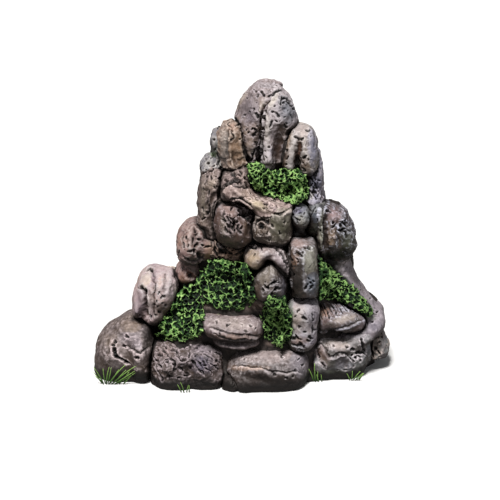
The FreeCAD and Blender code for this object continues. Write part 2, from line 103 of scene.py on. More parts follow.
FORMS = {
    "summit_left_slab": Form(
        [(3.8, 0.46, 1.97, 10.92, 12.5, 13.06, 16, 2.2),
         (-0.38, -4.54, -7.32, 4.4, 8, 12.89, 2, 2.1), (7.26, 0.96, 9.88, 6.02, 11, 7.47, 4, 2.1)],
        pits=0.9, blend=4.0, gain=(0.732, 0.786, 0.833), hi=(0.694, 0.741, 0.876)),
    "summit_right_slab": Form(
        [(-0.1, 0.54, -1.7, 6.74, 12, 13.62, -5, 2.3), (0.99, -0.46, 5.61, 4.85, 10, 9.68, -18, 2.3),
         (-1.6, -3.46, 3.91, 4.61, 9, 8.21, -8, 2.2), (-5.03, -5.46, -8.36, 3.46, 8.5, 14.31, -4, 2.1),
         (-5.7, -6.46, -18.09, 2.32, 7, 5.91, -3, 2.2), (0.86, -1.96, -14.44, 4.19, 7, 10.53, 0, 2.2)],
        pits=0.7, tone="grey", blend=4.5, swell=3.5, bite=0.85,
        gain=(1.65, 1.55, 1.55), hi=(0.92, 0.89, 0.92)),
    "right_finger_stone": Form(
        [(1.36, 2.05, 2.34, 6.26, 12, 8.68, 0, 2.4), (-3.59, -1.95, -1.43, 3.05, 9, 11.79, 6, 2.2),
         (4.73, -1.45, -0.61, 4.16, 10, 11.71, 1, 2.4)],
        pits=0.6, rough=0.7, tone="pale", swell=3.5, blend=2.2,
        gain=(0.671, 0.767, 0.829), hi=(0.77, 0.833, 0.931)),
    "left_finger_stone": Form(
        [(0.99, -2.21, 1.02, 4.4, 9, 11.58, -4, 2.4), (-3.23, 0.79, 1.72, 2.79, 9, 9.85, -4, 2.2),
         (3.3, -3.21, -5.41, 2.55, 8, 5.25, -14, 2.2)],
        flats=((0.242, -0.969, 0.048, 9.69, 0.6), (0.099, -0.994, 0.05, 10.55, 0.8)),
        gain=(0.489, 0.424, 0.359), hi=(0.835, 0.849, 0.827)),
    "left_small_finger": Form(
        [(-0.69, -2.13, 4.64, 2.14, 8, 4.72, -3, 2.3), (0.14, -0.13, -3.54, 2.35, 8, 5.86, 3, 2.2),
         (-4.6, 0.87, -6.7, 3.29, 9, 4.59, 12, 2.2)],
        pits=0.7, gain=(0.524, 0.719, 0.95), hi=(0.691, 0.79, 0.858)),
    "left_upper_column": Form(
        [(-2.96, -0.04, -6.28, 3.77, 12, 14.85, 3, 2.6), (0, -3.04, 0.91, 4.21, 11, 10.2, 3, 2.4),
         (0.87, -4.04, -10.98, 3.05, 10, 9.32, 4, 2.4), (-2.6, -0.04, -18.6, 3.79, 11, 5.4, 0, 2.4)],
        pits=0.8, bite=1.1, gain=(0.344, 0.337, 0.344), hi=(0.543, 0.537, 0.573)),
    "crinkled_ledge": Form(
        [(0.39, 1.44, -0.15, 6.02, 10, 4.26, -20, 2.2), (4.55, 2.94, 1.36, 3.25, 9, 5.07, 0, 2.2),
         (-2.42, 1.94, -5.09, 3.25, 9, 3.28, 0, 2.2)],
        pits=1.1, rough=1.0, bite=1.8, gain=(0.16, 0.16, 0.16), hi=(0.355, 0.364, 0.381)),
    "brow_ledge": Form(
        [(-2.6, 0.97, 0.9, 7.38, 9, 1.63, 32, 2.2), (4.77, -1.03, -2.36, 7.37, 9, 1.8, 24, 2.2),
         (9.44, 2.97, -3.03, 8.34, 9, 2.05, 12, 2.3), (-7.23, 2.97, 3.22, 4.16, 9, 1.46, 20, 2.2)],
        pits=0.6, rough=0.8, gain=(0.68, 0.65, 0.67), hi=(0.89, 0.87, 0.91)),
    "upper_left_boulder": Form(
        [(-0.27, 0.31, 0.04, 8.36, 12, 9.48, 0, 2.3), (-3.97, -0.19, 1.16, 3.94, 12, 7.86, 6, 2.2),
         (-2.1, 0.31, 6.81, 4.17, 11, 2.19, 0, 2.2)],
        pits=0.8, bite=1.15, gain=(0.219, 0.166, 0.16), hi=(0.626, 0.654, 0.766)),
    "upper_right_boulder": Form(
        [(0.8, 1.97, -0.28, 7.65, 12, 7.86, 0, 2.7), (-4.77, -0.03, -1.12, 4.16, 10, 5.14, 0, 2.2),
         (3.6, 4.97, 7.05, 5.57, 11, 2.05, 8, 2.2)],
        pits=0.7, bite=1.2, gain=(0.18, 0.2, 0.181), hi=(0.851, 0.901, 0.957)),
    "upper_small_stone": Form(
        [(0.01, 1.43, 1.57, 3.85, 9, 3.9, 0, 2.2), (1.01, 2.43, -2.12, 2.56, 8, 2.92, -8, 2.1),
         (-0.62, 6.93, -9.86, 4.23, 8, 2.98, 0, 2.2)],
        gain=(0.542, 0.783, 0.884), hi=(0.47, 0.569, 0.683)),
    "right_grey_column": Form(
        [(0.51, -1.99, -6.09, 3.57, 12, 12.24, -1, 2.4),
         (-0.96, -4.99, -11.1, 3.75, 11, 5.91, -16, 2.2), (-1.31, 2.01, 1.6, 3.77, 11, 8.17, 0, 2.3)],
        tone="grey", gain=(1.45, 1.45, 1.55), hi=(1.1, 1.07, 1.15)),
    "right_shoulder_slope": Form(
        [(-1.38, -1.5, 2.77, 5.15, 11, 2.37, -22, 2.2), (-0.38, -1.5, -1.63, 3.76, 10, 5.54, 0, 2.3),
         (-0.61, 1.5, -9.94, 3.31, 10, 7.81, 0, 2.3)],
        rough=0.8, pits=0.7, tone="grey", bite=1.3, gain=(0.16, 0.16, 0.16), hi=(0.3, 0.312, 0.3)),
    "right_boulder": Form(
        [(-0.77, -0.05, 0.05, 6.87, 14, 10.78, -4, 2.5), (-4.19, 0.95, 9.14, 4.72, 12, 4.5, -24, 2.2),
         (-8.91, -6.05, 2.41, 1.69, 10, 10.86, 0, 2.2), (-4.41, -6.05, -0.05, 2.82, 10, 9.32, 0, 2.3),
         (2.89, -2.55, -1.64, 3.78, 12, 7.49, -4, 2.3), (0.75, -3.05, 9.34, 2.82, 10, 2.07, 0, 2.2)],
        pits=0.9, bite=1.6, gain=(0.16, 0.16, 0.16), hi=(0.758, 0.939, 1.221)),
    "right_neck": Form(
        [(-1.36, 1.79, 2.67, 5.76, 12, 9.32, -14, 2.3), (-6.02, 3.79, 0.98, 6.27, 12, 10.45, 0, 2.3),
         (2.55, 0.79, -3.59, 3.85, 12, 5.91, -32, 2.2)],
        tone="grey", pits=0.3, rough=0.7, gain=(0.8, 0.75, 0.8), hi=(0.92, 0.88, 0.94)),
    "right_slope_stone": Form(
        [(-2.78, -3.06, 1.65, 4.84, 14, 8.53, -38, 2.3), (0.55, -3.06, -5.07, 6.8, 15, 6.55, -8, 2.4),
         (-8.26, -4.06, 5.61, 5.31, 13, 3.64, -38, 2.2),
         (-3.74, -6.06, -7.55, 7.26, 13, 2.59, -10, 2.3)],
        tone="grey", pits=0.4, rough=0.7, gain=(0.84, 0.79, 0.84), hi=(0.92, 0.88, 0.94)),
    "left_mid_boulder": Form(
        [(-1.89, -1.01, 3.18, 6.86, 13, 9.83, 8, 2.4), (5.65, -0.01, 3.36, 4.03, 11, 7.13, 14, 2.2),
         (0.56, -1.01, 10.61, 4.72, 12, 2.08, 0, 2.2), (-2.72, 2.99, -10.67, 6.23, 12, 5.26, 0, 2.3)],
        pits=0.6, rough=0.9, gain=(0.798, 0.673, 0.719), hi=(0.514, 0.534, 0.571)),
    "left_pale_stone": Form(
        [(1.49, 0.41, 3.84, 8.86, 15, 9.95, 4, 2.4), (-3.85, 1.41, 3.48, 6, 14, 9.57, 8, 2.3),
         (-8.88, -0.59, -2.42, 2.69, 12, 6.19, 3, 2.2), (-1.04, -0.59, -6, 5.29, 14, 6.06, 2, 2.3)],
        tone="pale", pits=0.35, rough=0.7, gain=(1.086, 1.035, 1.212), hi=(0.652, 0.68, 0.778)),
    "arch_cap_stone": Form(
        [(-5.14, 1.76, -1.56, 4.88, 10, 4.59, 30, 2.2), (-1.43, 1.76, 2.11, 6.5, 10, 2.05, -24, 2.2),
         (6.46, 0.76, -0.74, 3.39, 9.5, 6.1, -34, 2.2), (1.4, 4.76, 2.36, 8.86, 11, 1.76, 0, 2.3),
         (9.79, 1.76, -6.47, 1.86, 8, 3.56, -14, 2.1)],
        tone="pale", pits=0.5, rough=0.7, swell=3.0,
        gain=(0.308, 0.278, 0.329), hi=(0.616, 0.638, 0.728)),
    "arch_lower_stone": Form(
        [(-0.4, -0.51, 0.73, 8.36, 11, 8.57, 0, 1.75), (-0.14, -0.01, -2.4, 7.45, 11, 5.56, 0, 2.3),
         (0.03, -1.51, 5.01, 3.24, 9, 4.77, 0, 1.8)],
        pits=0.6, rough=0.8, swell=2.5, blend=2.5, bite=1.25,
        gain=(0.16, 0.16, 0.16), hi=(0.47, 0.533, 0.623)),
    "tall_column_stone": Form(
        [(0.46, 1.03, -0.87, 6.53, 12, 13.67, -4, 3.2), (-1.51, 1.03, 7.95, 5.34, 11, 4.64, 0, 2.4)],
        flats=((-0.689, -0.725, 0, 8.9, 0.6), (0.215, -0.976, 0.02, 10.94, 0.6),
               (0, -0.119, -0.993, 12.6, 0.6)),
        tone="pale", pits=0.4, rough=0.6, bite=1.3,
        gain=(0.16, 0.16, 0.16), hi=(0.653, 0.742, 0.916)),
    "crevice_stone": Form(
        [(0.98, 4.09, 1.07, 8.02, 10, 4.99, 0, 2.2), (-6.6, 6.09, 2.41, 3.31, 9, 6.32, 0, 2.2)],
        pits=1.4, gain=(0.64, 0.58, 0.54), hi=(0.68, 0.62, 0.56)),
    "left_ledge_stone": Form(
        [(0.05, 6.28, 1.15, 13.94, 14, 5.13, 3, 2.3), (-8.47, 7.28, 2.29, 6.15, 13, 3.85, 8, 2.1),
         (7.61, 7.28, 1.27, 6.86, 13, 4.56, 0, 2.3), (1.44, 6.78, -5.64, 11.38, 13, 1.94, 3, 2.3)],
        tone="pale", pits=0.4, rough=0.7, swell=4.5,
        gain=(0.285, 0.254, 0.313), hi=(0.669, 0.668, 0.78)),
    "centre_block": Form(
        [(-0.41, 4.94, 0.9, 6.15, 13, 12.75, 0, 3.2), (3.95, 7.44, 0.96, 3.56, 13, 10.68, 0, 2.6),
         (0.01, 5.94, 8.59, 6.61, 13, 3.46, -2, 3), (-0.01, 5.94, 10.1, 6.13, 13, 2.68, -2, 3)],
        tone="pale", pits=0.5, rough=0.7, swell=4.0,
        gain=(0.919, 1.053, 1.273), hi=(0.491, 0.556, 0.663)),
    "right_ledge_stone": Form(
        [(-2.23, 0.55, 1, 12.87, 12, 4.91, 6, 2.3), (-8.9, 0.55, 1, 5.72, 12, 6.14, 0, 2.4),
         (4.54, 1.55, 0.11, 6.69, 10, 2.26, 14, 2.1)],
        tone="pale", pits=0.45, rough=0.7, bite=1.35,
        gain=(0.212, 0.19, 0.232), hi=(0.626, 0.712, 0.922)),
    "far_right_stone": Form(
        [(-1.29, -4.82, 2.25, 5.37, 13, 6.74, 4, 2.5), (2, -1.82, -1.06, 3.19, 12, 4.81, 0, 2.4)],
        flats=((-0.329, -0.94, 0.094, 14.49, 0.6), (-0.241, -0.966, 0.097, 17.15, 0.6),
               (-0.241, -0.966, 0.097, 18.18, 0.6)),
        gain=(0.863, 1.342, 1.497), hi=(1.3, 1.3, 1.3)),
    "bottom_right_boulder": Form(
        [(-3.8, 4.43, -1.63, 12.37, 16, 10.8, 0, 2.7), (-11.7, 1.43, -1.96, 5.8, 14.5, 9, 0, 2.4),
         (4.96, 5.43, 0.32, 6.31, 14, 9.7, 0, 2.4), (-3.29, -0.07, 7.46, 10.56, 12, 3.21, -5, 2.4),
         (4.99, 2.43, 10.08, 5.77, 12, 2.43, -18, 2.2), (-8.99, 0.43, 5.71, 5.77, 12, 3.22, 0, 2.3)],
        pits=0.45, rough=0.7, swell=7.0, gain=(0.426, 0.623, 0.694), hi=(0.884, 0.99, 1.163)),
    "bottom_centre_boulder": Form(
        [(-2.15, 8.71, -3.43, 17.61, 16, 10.27, -2, 3), (-12.14, 7.71, -3.52, 8.56, 15, 9.29, 0, 2.6),
         (9.33, 10.71, -2.73, 7.16, 15, 8.48, 0, 2.5), (-1.16, 13.21, 2.42, 15.77, 15, 3.47, -6, 2.6),
         (-12.61, 9.71, 2.83, 6.65, 13, 2.4, -6, 2.3)],
        flats=((0, -0.27, 0.963, 9.1, 1.6), (0, -0.287, 0.958, 8.87, 1.8),
               (0, -0.322, 0.947, 7.87, 1.5)),
        pits=0.35, rough=0.55, bite=1.35, gain=(0.164, 0.16, 0.167), hi=(0.975, 1.072, 1.229)),
    "bottom_small_stone": Form(
        [(1.53, 3.66, -2.38, 4.88, 11, 4.41, 0, 2.3), (-2.37, 4.66, -6.44, 4.13, 11, 2.28, 0, 2.3)],
        tone="dark", bite=2.2, gain=(0.16, 0.16, 0.16), hi=(0.3, 0.3, 0.3)),
    "bottom_left_mid_boulder": Form(
        [(-4.76, 5.88, -5.5, 11.99, 18, 12.85, 0, 2.6), (9.16, 5.88, -3.94, 9.58, 18, 12.28, 0, 2.6),
         (8.31, 5.38, 5.03, 9.54, 14, 3.16, 4, 2.1), (-9.37, 5.38, 2.97, 6.2, 14, 3.95, 0, 2.2),
         (-7.6, -9.62, 1.57, 2.8, 5, 2.1, 0, 2), (-0.68, -6.62, 4.86, 4.22, 6, 3.43, 0, 2),
         (1.84, 11.38, 3.11, 15.4, 13, 2.73, 0, 2.3)],
        pits=0.9, rough=1.1, bite=1.35, gain=(0.16, 0.16, 0.16), hi=(0.513, 0.521, 0.611)),
    "bottom_left_boulder": Form(
        [(0.69, -4.13, -6.55, 12.88, 19, 17.61, 0, 2.5), (5.52, -2.13, 7.77, 7.99, 17, 6.67, 12, 2.2),
         (9.75, -7.13, -2.71, 5.8, 20, 14.9, 0, 2.4), (-6.79, -2.63, -7.7, 6.09, 16, 13.38, 4, 2.5)],
        pits=0.45, rough=0.7, bite=1.35, gain=(0.16, 0.16, 0.16), hi=(0.826, 0.847, 0.955)),
}

# Rear stones, one lobe each: tone, then offset x, y, z, half sizes x, y, z, mm, lean, degrees.
REAR_STONES = {
    "rear_bottom_left": ("brown", 0.13, -0.21, -3.03, 15, 13, 13.5, 0),
    "rear_jamb_left": ("dark", 0.47, -0.73, -2.19, 11.5, 11, 13.5, 0),
    "rear_jamb_right": ("brown", 0.01, -1.09, -1.87, 11.5, 11, 13, 0),
    "rear_bottom_right": ("dark", 1.2, -1.4, -1.8, 12, 13, 11.5, 0),
    "rear_left_shoulder": ("pale", 0.28, -0.87, -0.07, 12.5, 11, 12, 0),
    "rear_haunch_left": ("brown", -0.01, -0.29, -0.29, 10.5, 11, 12, -18),
    "rear_haunch_right": ("grey", -0.03, -1.74, -0.12, 10, 11, 12.5, 18),
    "rear_right_shoulder": ("brown", -1.47, -0.05, -0.88, 8.6, 12, 13, 0),
    "rear_lintel": ("brown", -0.06, 0, 0.16, 15, 10, 9, 0),
    "rear_mid_left": ("brown", -0.05, -0.78, -0.12, 11.5, 11, 13, 6),
    "rear_mid_centre": ("pale", 0.11, -0.72, 0.05, 12.5, 10, 13, 0),
    "rear_mid_right": ("brown", 0, -0.7, -0.04, 11, 11, 14, -6),
    "rear_upper_left": ("grey", 0.33, -0.68, -0.17, 9.5, 10, 14, 5),
    "rear_upper_centre": ("brown", 0.31, -0.58, 0.67, 8.5, 9, 14, 0),
    "rear_upper_right": ("brown", -0.56, -1.34, 0.05, 9, 10, 14, -5),
    "rear_spire": ("grey", -0.04, -0.96, -3, 9.5, 8, 15, 0),
}
REAR_SQUARENESS = 2.4
for node, (tone, *lobe) in REAR_STONES.items():
    FORMS[node] = Form([(*lobe, REAR_SQUARENESS)], tone=tone, pits=1.1, rough=1.2, rear=True)

# Colour patches: most are real tints, some are painted shade, a few painted highlight.
# Carving in the display plane, u = x and v = z cos + y sin, mm from the node box centre.
# An entry is (kind, sizes, place, place ...). Lengths are mm, turns degrees.
#   groove (half width, depth)                    places are lines of u, v points
#   valley (half width, depth, darkness)          lines
#   ridge  (half width, height)                   lines
#   ledge  (rise left of the line, fade, crack width)            lines
#   dent   (half size u, half size v, turn, depth)               places are u, v points
#   stain (half size u, half size v, turn, red, green, blue, amount) points
# The order matters: a mark's number seeds the breaks in scratched lines.
CARVING = {
    "summit_left_slab": [
        ("dent", (0.6, 0.5, 30, 0.8), (5.29, 10.59), (5.75, 9.5), (2.11, 11.47), (2.57, 5.76),
         (-1.98, 8.4), (-0.62, 1.8), (-3.35, 0.47), (1.21, 2.68), (3.02, 8.84), (4.83, 11.03)),
        ("dent", (0.7, 0.6, 0, 1.1), (0.3, -6.19), (1.67, -6.64), (2.59, -4.86), (0.76, -8.87),
         (2.14, -12), (1.22, -15.14), (0.77, -17.39), (-0.15, -19.65), (-1.53, -7.53)),
        ("valley", (1.5, 2.6, 0.25), ((6.67, 5.32), (5.77, 2.68), (5.14, -0.86), (4.65, -4.86),
         (4.2, -8.87), (3.75, -13.35), (3.53, -17.84), (3.77, -22.36))),
        # painted shade down the slot beside the crest
        ("stain", (1.1, 8, 3, 88, 62, 48, 0.85), (5.1, -2.63)),
        ("ridge", (1.4, 0.6), ((8.48, 7.96), (5.3, 5.76), (3.94, 3.12), (3.27, -0.42))),
        ("groove", (0.9, 0.8), ((3.92, 11.47), (4.83, 10.37), (5.52, 8.84))),
        ("groove", (0.9, 0.9), ((2.12, 1.35), (2.81, -0.42), (3.27, -1.75))),
        ("groove", (0.9, 1.2),
         ((0.3, -6.19), (1.67, -5.75), (2.59, -7.53), (1.22, -8.42), (2.6, -9.32)),
         ((2.6, -11.55), (1.91, -14.69), (1, -17.39), (0.31, -19.65))),
        ("stain", (5.5, 7, 22, 126, 116, 126, 0.55), (-1.53, 4)),
        ("stain", (1.4, 5, 36, 212, 196, 172, 0.4), (-4.71, 7.52)),
        ("stain", (1.3, 4, 26, 220, 206, 184, 0.4), (4.85, 4.44)),
        ("stain", (3, 4, 0, 150, 122, 98, 0.4), (1.68, -7.08)),
        ("stain", (8, 2.4, 5, 214, 206, 212, 0.5), (8.45, 14.09)),
        # painted shade low in the slot
        ("stain", (0.8, 7, 2, 40, 29, 24, 0.85), (3.8, -14.69)),
        ("groove", (0.9, 1), ((14.36, 12.12), (12.54, 12.12), (10.74, 10.81), (8.93, 9.06),
         (7.11, 8.4))),
    ],
    "summit_right_slab": [
        ("dent", (0.8, 0.5, 40, 1.3), (1.43, 8.64), (2.8, 7.98), (4.16, 7.76), (5.08, 6.45),
         (5.78, 5.13), (6.48, 3.8), (1.9, 6.01)),
        ("dent", (0.6, 0.5, 20, 0.8), (-2.64, 4.24), (0.12, -0.18), (3.75, 2.48), (2.41, -0.62),
         (1.53, -4.61), (5.14, 0.27), (-3.08, 1.59), (-1.69, -2.39), (3.35, -3.28), (-6.67, -15.8),
         (-6.2, -18.51), (-4.84, -14)),
        ("valley", (1.5, 2.6, 0.25), ((-6.29, 5.57), (-7.19, 2.92), (-7.82, -0.62), (-8.31, -4.61),
         (-8.76, -8.63), (-9.21, -13.1), (-9.43, -17.6), (-9.19, -22.12))),
        # painted shade down the slot beside the crest
        ("stain", (1.1, 8, 3, 88, 62, 48, 0.85), (-7.86, -2.39)),
        ("valley", (3.4, 1.6, 0.1), ((1.99, -4.61), (0.65, -9.52), (-0.23, -14.9), (-0.65, -21.22))),
        ("ridge", (2, 0.7), ((-0.4, 10.4), (-3.11, 7.76), (-4.69, 4.24), (-5.36, 0.27),
         (-5.57, -4.61), (-6.23, -9.97), (-6.21, -15.35))),
        ("groove", (0.9, 1.2), ((0.51, 9.52), (1.2, 8.42), (0.76, 6.89), (0.55, 4.68)),
         ((2.81, 6.89), (4.18, 6.01), (5.1, 4.68))),
        ("groove", (0.9, 1), ((-3.52, -1.95), (-3.97, -3.72), (-4.88, -5.5))),
        ("groove", (0.9, 0.9), ((-2.17, 1.59), (-0.79, 0.27), (-0.33, -1.06))),
        ("groove", (0.9, 1), ((1.98, -3.72), (2.91, -5.06), (3.36, -4.17))),
        ("stain", (4.6, 7.5, -14, 140, 146, 158, 0.75), (3.75, 2.92)),
        ("stain", (1.8, 5, 34, 222, 212, 186, 0.4), (-3.11, 6.89)),
        ("stain", (1.6, 10, 0, 214, 204, 184, 0.35), (-5.79, -5.95)),
        ("stain", (2.6, 4, 34, 132, 110, 94, 0.6), (2, -6.84)),
        ("stain", (2.8, 9, 2, 92, 66, 50, 0.85), (-0.23, -14.9)),
        # painted shade low in the slot
        ("stain", (0.8, 7, 2, 40, 29, 24, 0.85), (-9.16, -14.45)),
        ("groove", (0.95, 1.1), ((1.4, 11.93), (-0.41, 11.93), (-2.22, 10.84), (-4.03, 9.08))),
        ("groove", (1, 1.3), ((1.43, 8.64), (3.25, 7.98), (4.63, 6.89), (5.55, 5.13))),
    ],
    "right_finger_stone": [
        ("dent", (0.75, 0.6, 10, 1.1), (-5.96, 2.71), (-5.92, -1.28), (-5.44, -4.84),
         (-5.87, -7.52), (-6.76, -10.21), (2.76, -4.4), (1.88, -7.08), (2.38, -10.21),
         (4.15, -5.74), (5.82, 4.92), (-2.82, 7.13), (-0.86, -7.08)),
        ("stain", (2.6, 10, 0, 164, 164, 190, 0.8), (6.33, 0.5)),
        ("stain", (2.4, 10, 8, 190, 156, 124, 0.6), (-5.96, 3.15)),
        ("stain", (1.6, 8, 8, 110, 80, 58, 0.8), (-6.8, -5.74)),
        ("stain", (1.6, 8, 4, 70, 46, 34, 0.85), (-0.88, -4.84)),
        ("stain", (4, 4, 20, 224, 204, 198, 0.5), (1.7, 7.57)),
        ("stain", (3, 4, 0, 110, 78, 60, 0.6), (2.81, -7.97)),
        ("valley", (1.3, 2, 0.4), ((0.15, 4.48), (-0.03, 0.94), (-0.44, -3.51), (-0.83, -9.32),
         (-0.79, -12.91))),
        ("groove", (0.9, 1), ((-2.35, 5.14), (-0.98, 4.48), (0.39, 3.38))),
        ("groove", (0.9, 0.9), ((0.62, 3.38), (1.96, 4.7)), ((2.6, 8.45), (3.96, 7.79), (5.77, 8.23))),
        ("stain", (0.9, 6.5, 2, 104, 68, 50, 0.85), (-0.23, -2.17)),
    ],
    "left_finger_stone": [
        ("groove", (1.2, 1.2), ((4.74, 3.3), (4.96, -0.28), (5.64, -3.86), (7.02, -6.56))),
        ("groove", (0.55, 0.9), ((-1.67, 1.06), (-0.52, 2.63), (0.62, 3.3), (-0.74, 5.96),
         (-0.73, 8.18), (-2.09, 9.51))),
        ("valley", (0.9, 0.8, 0.25), ((-2.1, 7.74), (-2.58, 2.4), (-2.61, -2.96), (-1.26, -8.81))),
        ("dent", (0.6, 0.5, 20, 0.9), (1.55, 8.63), (2.47, 9.29), (-0.28, 6.41), (3.36, 2.85),
         (3.79, -10.16)),
        ("valley", (1.2, 0.9, 0.35), ((-0.31, -2.07), (0.13, -6.56), (1.95, -11.07))),
        ("stain", (5, 9, -6, 150, 118, 88, 0.55), (1.97, -3.41)),
        ("stain", (2.4, 3, 0, 170, 122, 98, 0.5), (0.18, 8.18)),
        ("stain", (2.6, 9, 0, 168, 164, 160, 0.5), (-3.98, -1.17)),
    ],
    "left_small_finger": [
        ("groove", (0.9, 1.2), ((0.59, 1.04), (0.34, -1.67), (0.08, -5.3), (-0.65, -8.94))),
        ("dent", (0.9, 0.6, -40, 1.1), (-1.93, 3.75), (-3.38, -3.48), (-4.81, -6.66),
         (-2.5, -8.02), (-5.77, -9.85), (1.21, -9.39), (-1.51, -0.76)),
        ("stain", (2.4, 1.5, 30, 92, 120, 72, 0.8), (-2.45, -2.12)),
        ("stain", (1.2, 5, 0, 58, 74, 44, 0.7), (0.33, -2.12)),
    ],
    "left_upper_column": [
        ("valley", (1.3, 1.5, 0.4), ((2.08, -1.84), (-0.71, -4.57), (-1.9, -7.77),
         (-2.18, -13.28), (-1.76, -17.89))),
        ("valley", (1.6, 2, 0.8), ((3.93, -0.48), (3.43, -6.86), (2, -12.36), (1.02, -18.82))),
        ("dent", (0.9, 0.6, -30, 1.2), (-0.13, 8.57), (-2.45, 5.87), (-0.62, 4.96), (1.68, 5.87),
         (-3.4, 3.15), (2.56, 0.89), (-3.09, -11.44), (0.12, -15.12), (-4.5, -13.74),
         (-1.51, 8.12), (1.66, 3.15), (-3.81, 7.67), (0.72, 0.89), (3.51, 4.96)),
        ("stain", (3, 8, 0, 58, 48, 38, 0.9), (0.59, -15.12)),
        ("stain", (1.6, 11, 0, 164, 152, 134, 0.5), (-4.41, -5.03)),
        ("stain", (3, 3, 0, 206, 186, 166, 0.5), (-0.19, 2.25)),
        ("stain", (2, 12, 0, 70, 56, 44, 0.8), (2.95, -9.6)),
        ("groove", (0.5, 0.8), ((-4.33, 1.79), (-3.93, -3.21), (-4.45, -8.69), (-4.06, -15.12)),
         ((-2.47, 4.06), (-1.83, -1.38), (-2.58, -6.86), (-2.18, -13.28)),
         ((2.99, -3.21), (0.66, -6.86), (-0.31, -11.44), (-0.36, -16.97))),
    ],
    "crinkled_ledge": [
        ("dent", (1.5, 0.75, 30, 1.5), (-3.15, 0.28)), ("dent", (1.5, 0.75, 60, 1.5), (-0.88, -2.41)),
        ("dent", (1.5, 0.75, 20, 1.5), (1.41, 1.18)), ("dent", (1.5, 0.75, 70, 1.5), (3.69, -0.62)),
        ("dent", (1.5, 0.75, 40, 1.5), (5.97, 1.18)), ("dent", (1.5, 0.75, 10, 1.5), (2.31, -3.77)),
        ("dent", (1.5, 0.75, 50, 1.5), (-1.81, -5.57)), ("dent", (1.5, 0.75, 30, 1.5), (5.05, -3.77)),
        ("dent", (1.5, 0.75, 0, 1.5), (0.05, 2.97)), ("dent", (1.5, 0.75, 60, 1.5), (3.7, 3.87)),
        ("dent", (1.5, 0.75, 80, 1.5), (-3.17, -3.31)), ("dent", (1.5, 0.75, 70, 1.5), (6.43, -2.41)),
        ("dent", (1.5, 0.75, 20, 1.5), (0.47, -6.47)),
        ("groove", (0.8, 1.5),
         ((-4.09, -4.22), (-1.8, -2.86), (0.5, -0.62), (2.32, -1.51), (4.61, 1.18), (6.88, -0.17)),
         ((-1.36, -7.83), (0.02, -4.67), (2.77, -5.12), (4.6, -2.41)),
         ((-2.23, 1.18), (-0.42, -0.17), (1.42, 2.97), (4.15, 2.08))),
        ("stain", (4, 5, 0, 196, 172, 170, 0.6), (-1.79, -1.07)),
        ("stain", (5, 5, 0, 190, 164, 158, 0.55), (3.24, 1.18)),
        ("stain", (6, 1.2, -20, 30, 22, 20, 0.9), (-0.42, -0.62)),
        ("stain", (5, 1.2, 20, 34, 26, 22, 0.8), (-5.01, -4.22)),
    ],
    "brow_ledge": [
        ("ridge", (1.3, 0.8), ((-5.3, 3.5), (-1.67, 0.36), (1.52, -1.89), (5.62, -3.24))),
        ("groove", (1, 1.4), ((-10.78, -1.44), (-8.04, -0.77), (-5.31, -0.09), (-2.12, -2.34),
         (0.61, -4.6))),
        ("dent", (1.3, 0.9, -30, 1.8), (6.53, -2.57)), ("dent", (1.3, 0.8, 0, 1.5), (6.31, -4.6)),
        ("dent", (1.1, 0.6, 20, 1.3), (-3.94, 0.36)),
        ("groove", (0.45, 0.6), ((-0.76, 2.15), (1.97, 0.36), (5.16, -0.54)),
         ((7.43, 0.36), (10.63, -1.44), (13.37, -2.34))),
        ("dent", (0.6, 0.5, 0, 0.8), (9.27, -3.24), (11.56, -4.15), (2.88, -0.54), (-0.76, -0.99)),
        ("stain", (5, 2, 25, 222, 204, 170, 0.7), (2.89, -3.24)),
        ("stain", (4, 2, 25, 196, 172, 156, 0.5), (-2.58, 1.26)),
    ],
    "upper_left_boulder": [
        ("valley", (1, 1.2, 0.7), ((-6.03, 8.52), (-2.85, 9.42), (0.34, 9.42), (3.51, 7.62),
         (6.24, 6.27))),
        ("valley", (2.4, 1, 0.55), ((6.24, 0.84), (6.7, -2.79), (6.24, -6.44))),
        ("stain", (3.4, 8, 0, 104, 80, 62, 0.8), (5.33, -1.88)),
        ("stain", (4, 4, 0, 176, 146, 138, 0.7), (-2.86, 5.82)),
        ("stain", (4, 6, 0, 112, 84, 66, 0.5), (-0.16, -2.79)),
        ("stain", (1.8, 7, 0, 176, 160, 142, 0.5), (-5.18, -0.97)),
        ("dent", (3.6, 2.6, 12, 3.4), (5.1, 4.91)), ("dent", (2.6, 2, 10, 1.8), (6.93, 1.75)),
        ("dent", (2, 0.9, 0, 1.8), (2.6, 6.27)),
        ("groove", (0.8, 1.2), ((-4.68, 6.72), (-5.61, 3.56), (-4.26, 0.84)),
         ((-2.41, 4.91), (-2.88, 2.2), (-1.52, -0.07), (-1.99, -2.79)),
         ((0.32, 3.56), (-1.06, 1.29), (0.3, -0.97)), ((-5.18, -0.97), (-3.37, -3.25), (-1.54, -5.07)),
         ((1.67, -0.07), (1.21, -2.79), (3.04, -4.62))),
        ("dent", (1, 0.7, 60, 1.3), (-3.78, 4.46), (-5.17, 1.29), (-1.51, 2.2), (0.76, 0.84),
         (-2.9, -0.97), (-0.16, -3.25), (2.58, -1.88), (-1.95, 7.17), (1.68, 4.01)),
        ("dent", (2, 0.8, 70, 1.5), (-3.34, 2.2)), ("dent", (2, 0.8, 100, 1.5), (-0.61, -0.97)),
        ("dent", (2, 0.8, 60, 1.5), (-4.28, -3.25)),
        ("stain", (7, 5, 0, 140, 118, 98, 0.35), (-1.55, -5.53)),
    ],
    "upper_right_boulder": [
        ("ledge", (1.1, 4, 0.7), ((8.27, 7.78), (6.47, 5.98), (4.21, 5.08), (2.85, 4.18),
         (1.03, 4.63), (-1.24, 5.08), (-2.14, 3.28))),
        ("valley", (1.2, 1, 0.6), ((-9.41, 2.83), (-8.96, -0.79), (-8.5, -4.42))),
        ("groove", (0.7, 1.1), ((-2.14, 3.28), (-1.24, 5.53), (1.49, 4.41), (4.21, 5.08))),
        ("groove", (1, 1.5), ((-8.5, -3.05), (-8.73, -0.79), (-7.59, 1.48), (-5.32, 2.6),
         (-3.05, 1.93), (-1.67, -0.33))),
        ("groove", (0.8, 1.1), ((-7.13, -3.51), (-5.3, -5.1), (-3.02, -4.87), (-1.66, -3.05))),
